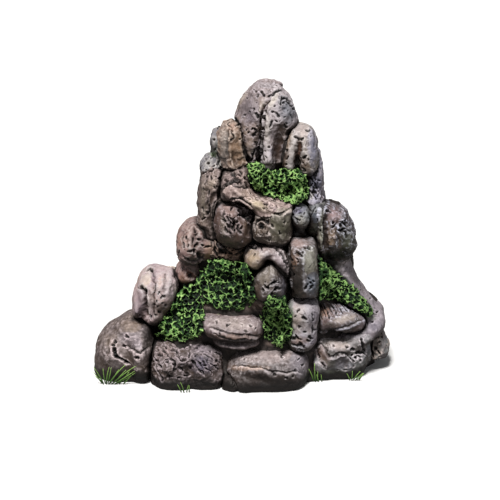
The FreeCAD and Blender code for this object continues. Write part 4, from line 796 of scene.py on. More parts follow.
# ------------------------------------------------------------------ moss and turf tables
# outline: u, v in the display plane from the node box centre, mm. thick: crown height, mm.
# cell, wall: size and half thickness of the open cells, mm. broken: share of walls gone.
# lush: strength of the bright greens.
MOSS_SPECS = {
    "moss_mat_upper": dict(
        outline=[(-14.0, 9.1), (-11.2, 10.0), (-8.5, 9.1), (-5.8, 6.9), (-2.6, 6.4), (1.1, 6.4),
                 (5.2, 6.9), (9.3, 6.0), (12.5, 4.2), (14.0, -0.3), (13.6, -4.8), (12.2, -8.0),
                 (8.6, -9.4), (4.0, -9.4), (0.3, -7.1), (-4.3, -5.7), (-8.0, -4.4),
                 (-11.2, -3.0), (-13.5, -0.8), (-14.9, 3.7)],
        thick=3.4, cell=2.0, wall=0.19, broken=0.42, lush=1.0),
    "moss_mat_left_upper": dict(
        outline=[(-11.3, 7.6), (-8.0, 11.3), (-4.7, 13.2), (0.9, 12.7), (5.5, 11.3), (10.1, 10.4),
                 (12.9, 6.6), (14.8, 0.5), (14.8, -5.6), (12.0, -9.4), (6.4, -12.3),
                 (0.2, -11.8), (-5.8, -10.4), (-10.1, -8.0), (-12.3, -2.8), (-14.6, 0.5)],
        thick=3.4, cell=3.1, wall=0.18, broken=0.12, lush=0.85),
    "moss_mat_left_lower": dict(
        outline=[(-2.2, 11.5), (1.2, 14.3), (4.9, 14.3), (7.2, 10.5), (9.0, 5.3), (9.4, -0.9),
                 (8.9, -7.6), (6.0, -11.5), (0.3, -12.9), (-6.4, -13.4), (-12.0, -12.9),
                 (-14.8, -9.6), (-12.8, -5.2), (-9.0, -0.4), (-6.0, 4.8)],
        thick=3.4, cell=3.0, wall=0.19, broken=0.12, lush=1.0),
    "moss_mat_centre": dict(
        outline=[(-4.2, 12.3), (-0.5, 14.1), (3.2, 11.8), (5.5, 7.6), (7.0, 3.4), (7.0, -2.7),
                 (6.6, -8.4), (3.9, -12.2), (-0.8, -12.2), (-5.0, -8.4), (-7.3, -1.8),
                 (-6.9, 5.8)],
        thick=3.2, cell=2.2, wall=0.19, broken=0.38, lush=0.8),
    "moss_mat_right": dict(
        outline=[(-13.3, 16.7), (-10.0, 13.9), (-6.2, 11.1), (-2.4, 8.7), (1.4, 5.9), (4.3, 2.6),
                 (7.2, -0.7), (10.6, -4.6), (13.6, -8.4), (14.2, -11.7), (11.4, -13.2),
                 (8.0, -10.8), (4.1, -7.9), (-0.2, -6.0), (-5.9, -5.0), (-12.5, -4.1),
                 (-12.6, 2.1), (-13.6, 9.7)],
        thick=3.0, cell=2.3, wall=0.2, broken=0.34, lush=0.72),
}

# Tuft root x, y from the node box centre, then its blades: root x, y from the tuft root,
# lean towards +X, lean towards -Y, degrees, length, width, mm.
TURF_SPECS = {
    "turf_tuft_left": ((-2.72, -0.95), [
        (-3.6, -0.2, -30, 14, 8.5, 0.75), (-2.9, -1.1, -17, 18, 12.0, 0.8),
        (-2.2, -0.4, -8, 10, 9.0, 0.7), (-1.6, -1.3, 5, 14, 11.0, 0.8),
        (-1.0, -0.5, 16, 10, 10.0, 0.7), (-0.5, -1.4, 30, 14, 15.5, 0.8),
        (0.2, -0.6, 26, 12, 10.0, 0.7), (0.8, -1.2, 44, 10, 17.0, 0.8),
        (1.5, -0.5, 40, 12, 11.0, 0.7), (2.2, -1.2, 52, 8, 13.0, 0.75),
        (3.0, -0.8, 58, 8, 12.0, 0.7), (-3.2, 0.4, -44, 6, 6.0, 0.7),
        (4.4, -1.0, 40, 8, 9.0, 0.7), (6.4, -1.0, 40, 8, 8.0, 0.65)]),
    "turf_tuft_front": ((0.10, 0.42), [
        (-1.2, -0.6, -20, 12, 5.0, 0.6), (0.0, -1.0, -8, 14, 6.5, 0.65),
        (1.2, -0.6, 14, 10, 4.5, 0.6), (2.4, -0.4, 4, 10, 4.0, 0.6)]),
    "turf_tuft_right": ((0.15, 1.56), [
        (-1.4, -0.3, -14, 8, 8.0, 0.7), (-0.6, -0.8, -6, 10, 11.0, 0.85),
        (0.3, -0.3, 6, 8, 6.0, 0.7), (1.1, -0.8, -20, 8, 4.5, 0.6), (2.4, -0.4, 0, 8, 4.0, 0.6)]),
    "turf_tuft_far_right": ((-1.88, 2.57), [
        (-1.6, -0.5, -18, 10, 4.5, 0.6), (-0.8, -0.9, 4, 12, 6.0, 0.65),
        (0.0, -0.5, 24, 10, 6.5, 0.7), (0.8, -0.9, 34, 10, 6.0, 0.6),
        (1.6, -0.5, 44, 8, 5.0, 0.6), (2.6, -0.5, 30, 8, 5.0, 0.6)]),
}
BLADE_ROWS = 7

# ------------------------------------------------------------------ node boxes, mm
BOX = {node: tuple(np.array(corner, float) * 1000.0 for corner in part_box(node))
       for node in frame["nodes"]}
SLOT = {part["node"]: part["material_slot"] for part in frame["record"]["subparts"]}


def centre_of(node):
    lo, hi = BOX[node]
    return (lo + hi) / 2.0


def name_seed(name):
    return sum(map(ord, name))


# ------------------------------------------------------------------ noise and blending
noise_rng = np.random.default_rng(20)
SHUFFLE = noise_rng.permutation(256).astype(np.int32)
SHUFFLE = np.concatenate([SHUFFLE, SHUFFLE])
SLOPES = noise_rng.normal(size=(256, 3)).astype(F32)
SLOPES /= np.linalg.norm(SLOPES, axis=1)[:, None]


def perlin(points, scale, seed):
    """Gradient noise, about -1 to 1, at points (n, 3) in mm."""
    spot = points / F32(scale) + F32(37.3 + 13.7 * seed)
    cell = np.floor(spot)
    part = (spot - cell).astype(F32)
    cell = cell.astype(np.int32) & 255
    fade = part * part * part * (part * (part * 6 - 15) + 10)
    x, y, z = cell[:, 0], cell[:, 1], cell[:, 2]
    out = np.zeros(len(points), F32)
    for i in (0, 1):
        hash_x = SHUFFLE[(x + i) & 255]
        weight_x = fade[:, 0] if i else 1 - fade[:, 0]
        for j in (0, 1):
            hash_y = SHUFFLE[(hash_x + y + j) & 255]
            weight_y = weight_x * (fade[:, 1] if j else 1 - fade[:, 1])
            for k in (0, 1):
                slope = SLOPES[SHUFFLE[(hash_y + z + k) & 255]]
                rise = (slope[:, 0] * (part[:, 0] - i) + slope[:, 1] * (part[:, 1] - j)
                        + slope[:, 2] * (part[:, 2] - k))
                out += weight_y * (fade[:, 2] if k else 1 - fade[:, 2]) * rise
    return out * F32(1.6)


def perlin_vector(points, scale, *seeds):
    return np.stack([perlin(points, scale, seed) for seed in seeds], axis=1)


def fbm(points, scale, octaves, seed):
    """Noise summed over octaves, each half the size and half the strength of the last."""
    out, total = np.zeros(len(points), F32), 0.0
    for k in range(octaves):
        weight = 0.5 ** k
        out += F32(weight) * perlin(points, scale / 2 ** k, seed + 3.1 * k)
        total += weight
    return out / F32(total)


def step(lo, hi, value):
    """Smooth step from 0 at lo to 1 at hi; lo may be the greater."""
    part = np.clip((value - lo) / (hi - lo), 0, 1)
    return part * part * (3 - 2 * part)


def soft_min(a, b, blend):
    share = np.clip(0.5 + 0.5 * (b - a) / blend, 0, 1)
    return b + (a - b) * share - blend * share * (1 - share)


def soft_max(a, b, blend):
    return -soft_min(-a, -b, blend)


def display_plane(points):
    """u, v of points as the display view sees them."""
    return np.stack([points[:, 0], points[:, 2] * VIEW_COS + points[:, 1] * VIEW_SIN], axis=1)


def towards_view(normals):
    return -normals[:, 1] * VIEW_COS + normals[:, 2] * VIEW_SIN


def within(points, box, margin):
    lo, hi = box
    return np.all((points > lo - margin) & (points < hi + margin), axis=1)


# ------------------------------------------------------------------ stone fields
def turn(lean):
    """Columns are the lobe's own axes, leant about +Y."""
    angle = math.radians(lean)
    cos, sin = math.cos(angle), math.sin(angle)
    return np.array([[cos, 0, sin], [0, 1, 0], [-sin, 0, cos]]).astype(F32)


def lobe_field(points, lobe, origin):
    """Distance from a rounded block, mm."""
    *offset, half_x, half_y, half_z, lean, power = lobe
    local = (points - (origin + offset).astype(F32)) @ turn(lean)
    half = np.array([half_x, half_y, half_z], F32)
    part = np.abs(local) / half + F32(1e-4)
    level = np.sum(part ** power, axis=1) ** (1.0 / power)
    slope = np.linalg.norm(part ** (power - 1) / half, axis=1) * level ** (1 - power)
    dist = (level - 1) / np.maximum(slope, 1e-3)
    return np.minimum(dist, np.linalg.norm(local, axis=1)).astype(F32)


def lobe_box(lobe, origin):
    middle = origin + lobe[:3]
    half = np.abs(turn(lobe[6])) @ np.array(lobe[3:6])
    return middle - half, middle + half


def stone_base(node, points):
    """The stone's large form as a distance, mm."""
    origin = centre_of(node)
    form = FORMS[node]
    dist = None
    for lobe in form.lobes:
        own = lobe_field(points, lobe, origin)
        dist = own if dist is None else soft_min(dist, own, form.blend)
    for *normal, offset, softness in form.flats:
        normal = np.array(normal, F32)
        normal /= np.linalg.norm(normal)
        flat = (points - origin.astype(F32)) @ normal - F32(offset)
        dist = soft_max(dist, flat, softness)
    return np.maximum(dist, -points[:, 2])


STONES = list(FORMS)
REACH = {}
for node in STONES:
    boxes = [lobe_box(lobe, centre_of(node)) for lobe in FORMS[node].lobes]
    REACH[node] = (np.min([lo for lo, _ in boxes], axis=0), np.max([hi for _, hi in boxes], axis=0))

ZERO = np.zeros(3)
BEDDING_LOBES = []      # (lobe placed in space, its box)
for near_node, *lobe in BEDDING:
    centre = centre_of(near_node)
    placed = (*(centre + lobe[:3]), *lobe[3:], BEDDING_SQUARENESS)
    BEDDING_LOBES.append((placed, lobe_box(lobe, centre)))

MERGED = {}
for group in MERGE_GROUPS:
    for node in group:
        MERGED.setdefault(node, set()).update(set(group) - {node})
NEAR = {node: [other for other in STONES if other != node
               and np.all(REACH[other][0] < REACH[node][1] + 6.0)
               and np.all(REACH[other][1] > REACH[node][0] - 6.0)]
        for node in STONES}


def rubble(points, blend, sunk=0.0):
    """All stones and the bedding as one soft distance; sunk lowers it away from the joints."""
    dist, first, second = [np.full(len(points), 30.0, F32) for _ in range(3)]
    for node in STONES:
        near = within(points, REACH[node], 9.0)
        if near.any():
            own = stone_base(node, points[near])
            dist[near] = soft_min(dist[near], own, blend)
            second[near] = np.minimum(second[near], np.maximum(first[near], own))
            first[near] = np.minimum(first[near], own)
    if sunk:
        dist = dist + F32(sunk) * step(1.2, 4.0, second - first)
    for lobe, box in BEDDING_LOBES:
        near = within(points, box, 9.0)
        if near.any():
            dist[near] = soft_min(dist[near], lobe_field(points[near], lobe, ZERO), blend)
    return dist


def stone_field(node, points):
    """The stone swollen to meet its neighbours and cut off half way to each of them."""
    out = stone_base(node, points)
    close = out < 5.0
    spots, own = points[close], out[close]
    union = own.copy()
    other = np.full(len(spots), 30.0, F32)
    joined = np.full(len(spots), 30.0, F32)
    for neighbour in NEAR[node]:
        near = within(spots, REACH[neighbour], 7.0)
        if not near.any():
            continue
        dist = stone_base(neighbour, spots[near])
        union[near] = soft_min(union[near], dist, FORMS[node].swell)
        rival = joined if neighbour in MERGED.get(node, ()) else other
        rival[near] = np.minimum(rival[near], dist)
    shape = soft_max(union, (own - other) / 2 + F32(JOINT), 1.5)
    out[close] = soft_max(shape, (own - joined) / 2 + F32(MERGED_JOINT), 0.2)
    return np.maximum(out, -points[:, 2])


# ------------------------------------------------------------------ shell and cave fields
# Plans at z = 0, x, y from the shell's box centre, mm.
SHELL_OUTLINE = [(-56.0, -1.5), (-46.0, -12.5), (-20.0, -22.5), (20.0, -22.5), (44.0, -13.5),
                 (56.0, 0.5), (51.0, 12.5), (32.0, 22.5), (-24.0, 22.5), (-50.0, 12.5)]
CAVE_OUTLINE = [(-49.0, -0.5), (-42.0, -7.5), (-18.0, -16.5), (18.0, -16.5), (38.0, -8.5),
                (49.0, 1.5), (45.0, 8.5), (29.0, 16.5), (-22.0, 16.5), (-44.0, 8.5)]
SHELL_CENTRE = centre_of("cave_shell")
SHELL_PLAN = [(SHELL_CENTRE[0] + x, SHELL_CENTRE[1] + y) for x, y in SHELL_OUTLINE]
CAVE_PLAN = [(SHELL_CENTRE[0] + x, SHELL_CENTRE[1] + y) for x, y in CAVE_OUTLINE]
SHELL_TOP = BOX["cave_shell"][1][2]
SHELL_APEX = (SHELL_CENTRE[0] + 11.0, SHELL_CENTRE[1] + 2.5, SHELL_TOP + 24.0)
SHELL_GROWTH = 4.0
CAVE_TOP = SHELL_TOP - 24.0
CAVE_APEX = (SHELL_APEX[0], SHELL_APEX[1], SHELL_APEX[2] - 20.0)
MOUTH_X = SHELL_CENTRE[0] + 3.0
MOUTH_Y = SHELL_CENTRE[1] + 4.5       # the mouth opens from here towards +Y
MOUTH_RADIUS = 15.0
MOUTH_SPRING = 14.0                   # height at which the arch starts


def frustum_field(points, plan, apex, top, grow):
    """A block whose flat sides lean to the apex, grown outwards, mm."""
    dist = points[:, 2] - F32(top + grow)
    middle = np.mean(np.array(plan, float), axis=0)
    apex = np.array(apex, float)
    for i in range(len(plan)):
        corner = np.array([*plan[i], 0.0])
        following = np.array([*plan[(i + 1) % len(plan)], 0.0])
        normal = np.cross(following - corner, apex - corner)
        normal /= np.linalg.norm(normal)
        if normal @ (np.array([middle[0], middle[1], 1.0]) - corner) > 0:
            normal = -normal
        side = (points @ normal.astype(F32)) - F32(normal @ corner + grow)
        dist = soft_max(dist, side, 2.5)
    return dist.astype(F32)


def shell_block(points):
    return frustum_field(points, SHELL_PLAN, SHELL_APEX, SHELL_TOP, SHELL_GROWTH)


def cave_field(points):
    """Inside the cave and its mouth, negative."""
    cave = frustum_field(points, CAVE_PLAN, CAVE_APEX, CAVE_TOP, 0.0)
    x = np.abs(points[:, 0] - F32(MOUTH_X))
    z = points[:, 2]
    arch = np.where(z > MOUTH_SPRING, np.hypot(x, z - F32(MOUTH_SPRING)), x) - F32(MOUTH_RADIUS)
    mouth = soft_max(arch.astype(F32), -(points[:, 1] - F32(MOUTH_Y)), 0.5)
    return soft_min(cave, mouth, 2.0)


# ------------------------------------------------------------------ meshing
def surface(lo, hi, pitch, field):
    """Quads on the zero of field over a box, mm."""
    lo = np.floor(np.array(lo) / pitch - 3) * pitch
    count = np.ceil((np.array(hi) - lo) / pitch + 3).astype(int)
    xs, ys, zs = [(lo[k] + pitch * np.arange(count[k])).astype(F32) for k in range(3)]
    values = np.empty(count, F32)
    slab = max(1, int(2_000_000 // (count[1] * count[2])))      # bounds the memory in use
    for start in range(0, count[0], slab):
        part = xs[start:start + slab]
        points = np.stack(np.meshgrid(part, ys, zs, indexing="ij"), axis=-1).reshape(-1, 3)
        values[start:start + slab] = field(points).reshape(len(part), count[1], count[2])
    grid = openvdb.FloatGrid(3 * pitch)
    grid.copyFromArray(np.clip(values, -3 * pitch, 3 * pitch))
    grid.gridClass = openvdb.GridClass.LEVEL_SET
    points, quads = grid.convertToQuads(0.0)
    return points.astype(np.float64) * pitch + lo, quads[:, ::-1].astype(np.int64)


def quad_normals(points, quads):
    across = np.cross(points[quads[:, 2]] - points[quads[:, 0]],
                      points[quads[:, 3]] - points[quads[:, 1]])
    out = np.stack([np.bincount(quads.ravel(), np.repeat(across[:, k], 4), len(points))
                    for k in range(3)], axis=1)
    return out / np.maximum(np.linalg.norm(out, axis=1), 1e-12)[:, None]


KEY_BASE = 1 << 24      # above any point number


def edge_keys(quads):
    start = quads.T.ravel()
    end = np.roll(quads, -1, axis=1).T.ravel()
    return np.minimum(start, end) * KEY_BASE + np.maximum(start, end)


def key_ends(keys):
    return np.stack([keys // KEY_BASE, keys % KEY_BASE], axis=1)


def edges_of(quads):
    return key_ends(np.unique(edge_keys(quads)))


def refine(points, quads):
    """One round of Catmull-Clark, which also smooths out the steps of the grid."""
    total, faces = len(points), len(quads)
    keys, edge_of = np.unique(edge_keys(quads), return_inverse=True)
    ends = key_ends(keys)
    corners = quads.ravel()
    face = points[quads].mean(axis=1)
    middle = (points[ends[:, 0]] + points[ends[:, 1]]) / 2
    edge_faces = np.bincount(edge_of, minlength=len(keys)).astype(float)
    point_faces = np.bincount(corners, minlength=total).astype(float)
    point_edges = np.bincount(ends.ravel(), minlength=total).astype(float)
    edge = np.zeros((len(keys), 3))
    vert = np.zeros((total, 3))
    for k in range(3):
        face_sum = np.bincount(edge_of, np.tile(face[:, k], 4), len(keys))
        edge[:, k] = (2 * middle[:, k] + face_sum) / (2 + edge_faces)
        around = np.bincount(corners, np.repeat(face[:, k], 4), total) / np.maximum(point_faces, 1)
        ring = (np.bincount(ends[:, 0], middle[:, k], total)
                + np.bincount(ends[:, 1], middle[:, k], total)) / np.maximum(point_edges, 1)
        vert[:, k] = ((around + 2 * ring + (point_edges - 3) * points[:, k])
                      / np.maximum(point_edges, 1))
    side = [edge_of[k * faces:(k + 1) * faces] + total for k in range(4)]
    hub = total + len(keys) + np.arange(faces)
    fine = np.concatenate([np.stack([quads[:, k], side[k], hub, side[k - 1]], axis=1)
                           for k in range(4)])
    return np.concatenate([vert, edge, face]), fine


def spread(points, edges, rounds):
    """Averages points over their neighbours, rounds times."""
    out = points.astype(float)
    count = np.bincount(edges.ravel(), minlength=len(out)).astype(float)[:, None]
    start, end = edges[:, 0], edges[:, 1]
    for _ in range(rounds):
        total = np.stack([np.bincount(start, out[end, k], len(out))
                          + np.bincount(end, out[start, k], len(out)) for k in range(3)], axis=1)
        out = 0.5 * out + 0.5 * total / np.maximum(count, 1)
    return out


def keep_largest(points, quads):
    """Drops crumbs that are not joined to the main skin."""
    label = np.arange(len(points))
    edges = edges_of(quads)
    while True:
        low = label.copy()
        np.minimum.at(low, edges[:, 0], label[edges[:, 1]])
        np.minimum.at(low, edges[:, 1], label[edges[:, 0]])
        low = low[low]
        if (low == label).all():
            break
        label = low
    names, counts = np.unique(label, return_counts=True)
    good = label == names[counts.argmax()]
    if good.all():
        return points, quads
    renumbered = np.cumsum(good) - 1
    return points[good], renumbered[quads[good[quads[:, 0]]]]


def displace(points, normals, amount):
    """Moves points along their normals, never below the standing plane."""
    out = points + normals * amount[:, None]
    out[:, 2] = np.maximum(out[:, 2], 0.0)
    return out


def make_mesh(name, points, faces, attributes):
    """A Blender mesh from points in mm."""
    mesh = bpy.data.meshes.new(name)
    corners = faces.shape[1]
    mesh.vertices.add(len(points))
    mesh.vertices.foreach_set("co", (points * 0.001).astype(F32).ravel())
    mesh.loops.add(faces.size)
    mesh.loops.foreach_set("vertex_index", faces.astype(np.int32).ravel())
    mesh.polygons.add(len(faces))
    mesh.polygons.foreach_set("loop_start", (np.arange(len(faces)) * corners).astype(np.int32))
    mesh.polygons.foreach_set("use_smooth", np.full(len(faces), True))
    mesh.update(calc_edges=True)
    mesh.validate()
    for key, value in attributes.items():
        value = np.asarray(value, F32)
        if value.ndim == 1:
            mesh.attributes.new(key, "FLOAT", "POINT").data.foreach_set("value", value)
        else:
            rgba = np.ones((len(value), 4), F32)
            rgba[:, :3] = value
            mesh.attributes.new(key, "FLOAT_COLOR", "POINT").data.foreach_set("color", rgba.ravel())
    return mesh


def show(name, node, material, shape):
    """Puts a finished shape in the scene in place of its CAD node."""
    piece = bpy.data.objects.new(name, make_mesh(name, *shape))
    bpy.context.scene.collection.objects.link(piece)
    piece.data.materials.append(material)
    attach(piece, "root")
    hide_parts(node)


# ------------------------------------------------------------------ colours
def srgb(rgb):
    """0-255 screen colour to linear."""
    part = np.asarray(rgb, float) / 255.0
    return np.where(part <= 0.04045, part / 12.92, ((part + 0.055) / 1.055) ** 2.4)


def mix(first, second, share):
    share = np.clip(share, 0, 1)[:, None]
    return first * (1 - share) + second * share


# Base coat, tan patches, mauve patches, and the light colour of the drybrush and painted highlight.
TONES = {
    "brown": ((156, 134, 127), (188, 158, 134), (142, 126, 134), (226, 206, 196)),
    "pale": ((182, 162, 152), (204, 178, 152), (162, 146, 150), (238, 222, 210)),
    "grey": ((146, 140, 143), (166, 155, 146), (120, 120, 132), (214, 208, 208)),
    "dark": ((122, 104, 98), (148, 122, 102), (100, 90, 96), (192, 170, 160)),
}
# Dark colours: washes in the cracks, and painted shade in the low places, on faces turned down, in the
# joints, near the ground and under moss.
WASH_AND_SHADE_BROWN = srgb((72, 56, 47))
BLACK = srgb((14, 11, 10))
SHADE_BROWN = srgb((52, 40, 34))       # beneath overhanging neighbours
SHADE_BLACK = srgb((12, 10, 9))
JOINT_SHADE_BROWN = srgb((40, 31, 27))
MOSS_SHADE = srgb((8, 16, 7))
CAVE_BROWN = srgb((58, 50, 45))
MOSS_DARK, MOSS_MID = srgb((1, 5, 1)), srgb((14, 54, 11))
MOSS_LIGHT, MOSS_LIME = srgb((72, 134, 44)), srgb((186, 220, 138))
BLADE_ROOT, BLADE_TIP = srgb((70, 130, 40)), srgb((178, 222, 118))


# ------------------------------------------------------------------ carving
def along(uv, line):
    """Distance to a polyline, place along it 0 to 1, and which side (+1 left)."""
    line = np.asarray(line, float)
    lengths = np.linalg.norm(np.diff(line, axis=0), axis=1)
    total = max(lengths.sum(), 1e-6)
    best = np.full(len(uv), 1e9)
    place = np.zeros(len(uv))
    side = np.ones(len(uv))
    run = 0.0
    for i, length in enumerate(lengths):
        start, way = line[i], line[i + 1] - line[i]
        part = np.clip(((uv - start) @ way) / max(way @ way, 1e-9), 0, 1)
        rest = uv - start - part[:, None] * way
        dist = np.hypot(rest[:, 0], rest[:, 1])
        closer = dist < best
        best[closer] = dist[closer]
        place[closer] = (run + part[closer] * length) / total
        side[closer] = np.sign(way[0] * (uv[closer, 1] - start[1])
                               - way[1] * (uv[closer, 0] - start[0]))
        run += length
    return best, place, side


def ends_taper(place, reach, least):
    """Falls towards least over the share reach at either end of a line."""
    return np.clip(np.minimum(place, 1 - place) / reach, least, 1)


class Marks:
    """Marks of the carving table: push along the normals and the paint that goes with it."""

    def __init__(self, node, points, normals):
        self.push, self.wash_and_shade, self.glow, self.tint_share = np.zeros((4, len(points)))
        self.tint = np.zeros((len(points), 3))
        self.points = points.astype(F32)
        self.uv = (display_plane(points - centre_of(node))
                   + 0.45 * perlin_vector(self.points, 2.6, 5.0, 6.0)
                   + 0.22 * perlin_vector(self.points, 1.0, 5.5, 6.5))
        self.facing = step(-0.15, 0.25, towards_view(normals))
        self.grit = perlin(self.points, 1.7, 7.0)
        self.grain = perlin(self.points, 0.9, 7.7)
        self.number = 0
        for kind, sizes, *places in CARVING.get(node, ()):
            for place in places:
                getattr(self, kind)(place, *sizes)
                self.number += 1

    def darken(self, amount):
        self.wash_and_shade = np.maximum(self.wash_and_shade, amount)

    def brighten(self, amount):
        self.glow = np.maximum(self.glow, amount)

    def oval(self, place, half_u, half_v, degrees):
        """1 on the rim of a turned oval, 0 at its centre."""
        cos, sin = math.cos(math.radians(degrees)), math.sin(math.radians(degrees))
        u, v = self.uv[:, 0] - place[0], self.uv[:, 1] - place[1]
        return np.hypot((u * cos - v * sin) / half_u, (u * sin + v * cos) / half_v)

    def groove(self, line, half_width, depth):
        dist, place, _ = along(self.uv, line)
        taper = ends_taper(place, 0.12, 0.25)
        if half_width < 0.85:      # a scratched line comes and goes
            breaks = perlin(self.points, 3.1, 80.0 + self.number)
            taper = taper * (0.12 + 0.88 * step(-0.38, 0.05, breaks))
        width = half_width * (0.78 + 0.55 * self.grit + 0.25 * self.grain) * np.sqrt(taper)
        cut = np.clip(1 - dist / np.maximum(width, 0.15), 0, 1) ** 0.8 * taper * self.facing
        self.push -= depth * cut
        self.darken(np.clip(1.35 * cut, 0, 1) * min(1.0, 0.45 + depth))
        lip = np.exp(-((dist - width * 1.35) / (0.6 * width + 0.15)) ** 2) * taper * self.facing
        self.push += 0.12 * depth * lip
        self.brighten(0.45 * lip * (1 + self.grain))

    def valley(self, line, half_width, depth, darkness):
        dist, place, _ = along(self.uv, line)
        taper = np.sqrt(ends_taper(place, 0.2, 0.05))
        dip = np.exp(-(dist / (half_width * 0.75)) ** 2) * taper * self.facing
        self.push -= depth * dip
        self.darken(darkness * np.clip(1.25 * dip - 0.2, 0, 1) * (0.8 + 0.4 * self.grit))

    def ridge(self, line, half_width, height):
        dist, place, _ = along(self.uv, line)
        taper = np.sqrt(ends_taper(place, 0.2, 0.0))
        crest = (np.exp(-(dist / half_width) ** 2) * taper * self.facing
                 * (0.75 + 0.5 * self.grit))
        self.push += 0.8 * height * crest
        self.brighten(0.75 * np.clip(crest, 0, 1) * (1 + 0.6 * self.grain))

    def ledge(self, line, rise, fade, crack):
        dist, place, side = along(self.uv, line)
        taper = ends_taper(place, 0.15, 0.0)
        above = side > 0
        lift = rise * np.clip(1 - dist / fade, 0, 1) ** 1.3 * taper * above * step(0, 0.5, dist)
        self.push += lift * self.facing
        # light brow along the raised edge: drybrush and painted highlight
        self.brighten(np.exp(-((dist - 0.7) / 0.8) ** 2) * above * taper * self.facing)
        cut = np.clip(1 - dist / crack, 0, 1) * taper * self.facing * np.where(above, 0.35, 1.0)
        self.push -= 0.55 * rise * cut
        self.darken(np.clip(1.3 * cut, 0, 1))
        # darker below the edge: painted shadow
        under = np.clip(1 - dist / (crack * 3.2), 0, 1) * taper * self.facing * (~above)
        self.darken(0.45 * under)

    def dent(self, place, half_u, half_v, degrees, depth):
        if half_u < 1.25:      # nicks: no two alike
            chance = [math.sin(12.9898 * place[0] + 78.233 * place[1] + k) * 43758.5453 % 1.0
                      for k in (0.0, 1.7, 3.1)]
            half_u = half_u * (0.6 + 1.3 * chance[0] ** 1.5)
            half_v = half_v * (0.5 + 0.8 * chance[1])
            degrees = degrees + 130 * (chance[2] - 0.5)
            depth = depth * (0.7 + 0.5 * chance[0])
        rim = self.oval(place, half_u, half_v, degrees) + (0.28 * self.grain + 0.2 * self.grit)
        dip = step(1.12, 0.45, rim) * self.facing
        self.push -= depth * dip
        self.darken(np.clip(dip * min(1.0, depth * 0.8), 0, 1))

    def stain(self, place, half_u, half_v, degrees, red, green, blue, amount):
        rim = self.oval(place, half_u, half_v, degrees) + 0.35 * self.grit + 0.22 * self.grain
        share = step(1.5, 0.1, rim) * self.facing * amount
        self.tint[share > self.tint_share] = srgb((red, green, blue))
        self.tint_share = np.maximum(self.tint_share, np.clip(share, 0, 1))


def pits(points, normals, amount):
    """Nicks, worm lines and chips gathered in patches: push, dark washes with painted shade at the foot
    of each broken step, and bright brows that are drybrush and painted highlight.
    """
    p32 = points.astype(F32)
    warp = perlin_vector(p32, 2.6, 31.0, 32.0, 33.0)
    bent = p32 + 1.2 * warp
    where = step(-0.05, 0.4, fbm(p32, 8.0, 2, 34.0) + 0.16 * (amount - 0.6))
    worm = np.abs(perlin(bent * np.array([1.0, 1.0, 0.55], F32), 3.1, 35.0))
    line = step(0.085, 0.015, worm) * where * step(0.05, 0.35, perlin(p32, 3.0, 39.0))
    speck = perlin(bent * np.array([1.0, 1.0, 1.5], F32), 1.75, 36.0)
    nick = step(0.60, 0.76, speck + 0.14 * (amount - 0.6)) * (0.35 + 0.65 * where)
    chip = step(0.1, 0.32, perlin(bent, 2.2, 37.0)) * where
    push = -0.5 * line - 0.7 * nick + 0.22 * chip - 0.10 * perlin(bent, 1.1, 38.0)
    # broken faces: the skin steps up and down along ragged edges
    height = 2.6 * fbm(p32 + 0.5 * warp, 7.5, 2, 41.0) + 0.35 * perlin(p32, 1.7, 42.0)
    part = height - np.floor(height)
    shelf = np.floor(height) + step(0.74, 0.98, part)
    broken = step(-0.35, 0.15, perlin(p32, 10.0, 43.0) + 0.3 * (amount - 1.0))
    push = push + 0.42 * shelf * broken
    # darker foot of each step: painted shade
    foot = (step(0.60, 0.74, part) * step(0.86, 0.76, part) * broken
            * step(-0.1, 0.3, perlin(p32, 3.3, 44.0) + 0.2 * (amount - 1.0)))
    # lighter brow of each step: drybrush and painted highlight
    brow = (step(0.93, 0.99, part) + step(0.10, 0.0, part)) * broken
    wash_and_shade = np.clip(0.9 * line + 1.0 * nick + 0.75 * foot, 0, 1) * min(1.0, 0.35 + 0.65 * amount)
    return push * amount, wash_and_shade, brow * min(1.0, amount)


# Height above the ground, for the painted shade that darkens the stones towards the bottom.
def height_near_ground(points, normals, noise_points):
    return points[:, 2] + 3.0 * normals[:, 2] + 1.5 * perlin(noise_points, 6.0, 21.0)


def creases(node, points, normals):
    """Masks for painted shade, both 0 to 1: depth in the joints and at the foot, and how closely
    neighbours hang over or the ground comes near.
    """
    gap = np.full(len(points), 9.0)
    room = np.full(len(points), 9.0)
    out = (points + 0.25 * normals).astype(F32)
    far = (points + 3.0 * normals).astype(F32)
    for other in STONES:
        if other == node or other in MERGED.get(node, ()):
            continue
        near = within(points, REACH[other], 3.5)
        if near.any():
            gap[near] = np.minimum(gap[near], stone_base(other, out[near]))
            room[near] = np.minimum(room[near], stone_base(other, far[near]))
    gap += 0.3 * perlin(out, 2.4, 17.0)
    if node != "cave_shell":
        gap = (gap - stone_base(node, out)) * 0.8      # distance from the nearest joint
    # darker close to a joint: painted shade
    crease = step(1.6, 0.0, gap) * (0.62 + 0.6 * perlin(out, 9.0, 19.0))
    # the mortar darker all through the gaps round the stones: painted shade
    if node == "cave_shell":
        crease = np.maximum(crease, step(7.0, 1.0, gap) * 0.85)
    # darker at the foot: painted shade
    foot = step(3.2, 0.0, points[:, 2] + 2.0 * normals[:, 2])
    # painted shadow where neighbours hang over, painted shade near the ground
    room = step(3.4, -0.6, room + 0.8 * perlin(out, 4.5, 20.0))
    room = np.maximum(room, 0.9 * step(8.5, 1.0, height_near_ground(points, normals, out)))
    return np.clip(np.maximum(crease, foot * 0.95), 0, 1), np.clip(room, 0, 1)


# ------------------------------------------------------------------ painting
def in_outline(uv, outline, origin_uv):
    """Signed distance to a closed outline, negative inside, in the display plane."""
    line = np.asarray(outline, float) + origin_uv
    loop = np.vstack([line, line[:1]])
    best, _, _ = along(uv, loop)
    u, v = uv[:, 0], uv[:, 1]
    inside = np.zeros(len(uv), bool)
    for start, end in zip(loop[:-1], loop[1:]):
        crossing = (end[0] - start[0]) * (v - start[1]) / (end[1] - start[1] + 1e-12) + start[0]
        inside ^= ((end[1] > v) != (start[1] > v)) & (u < crossing)
    return np.where(inside, -best, best)


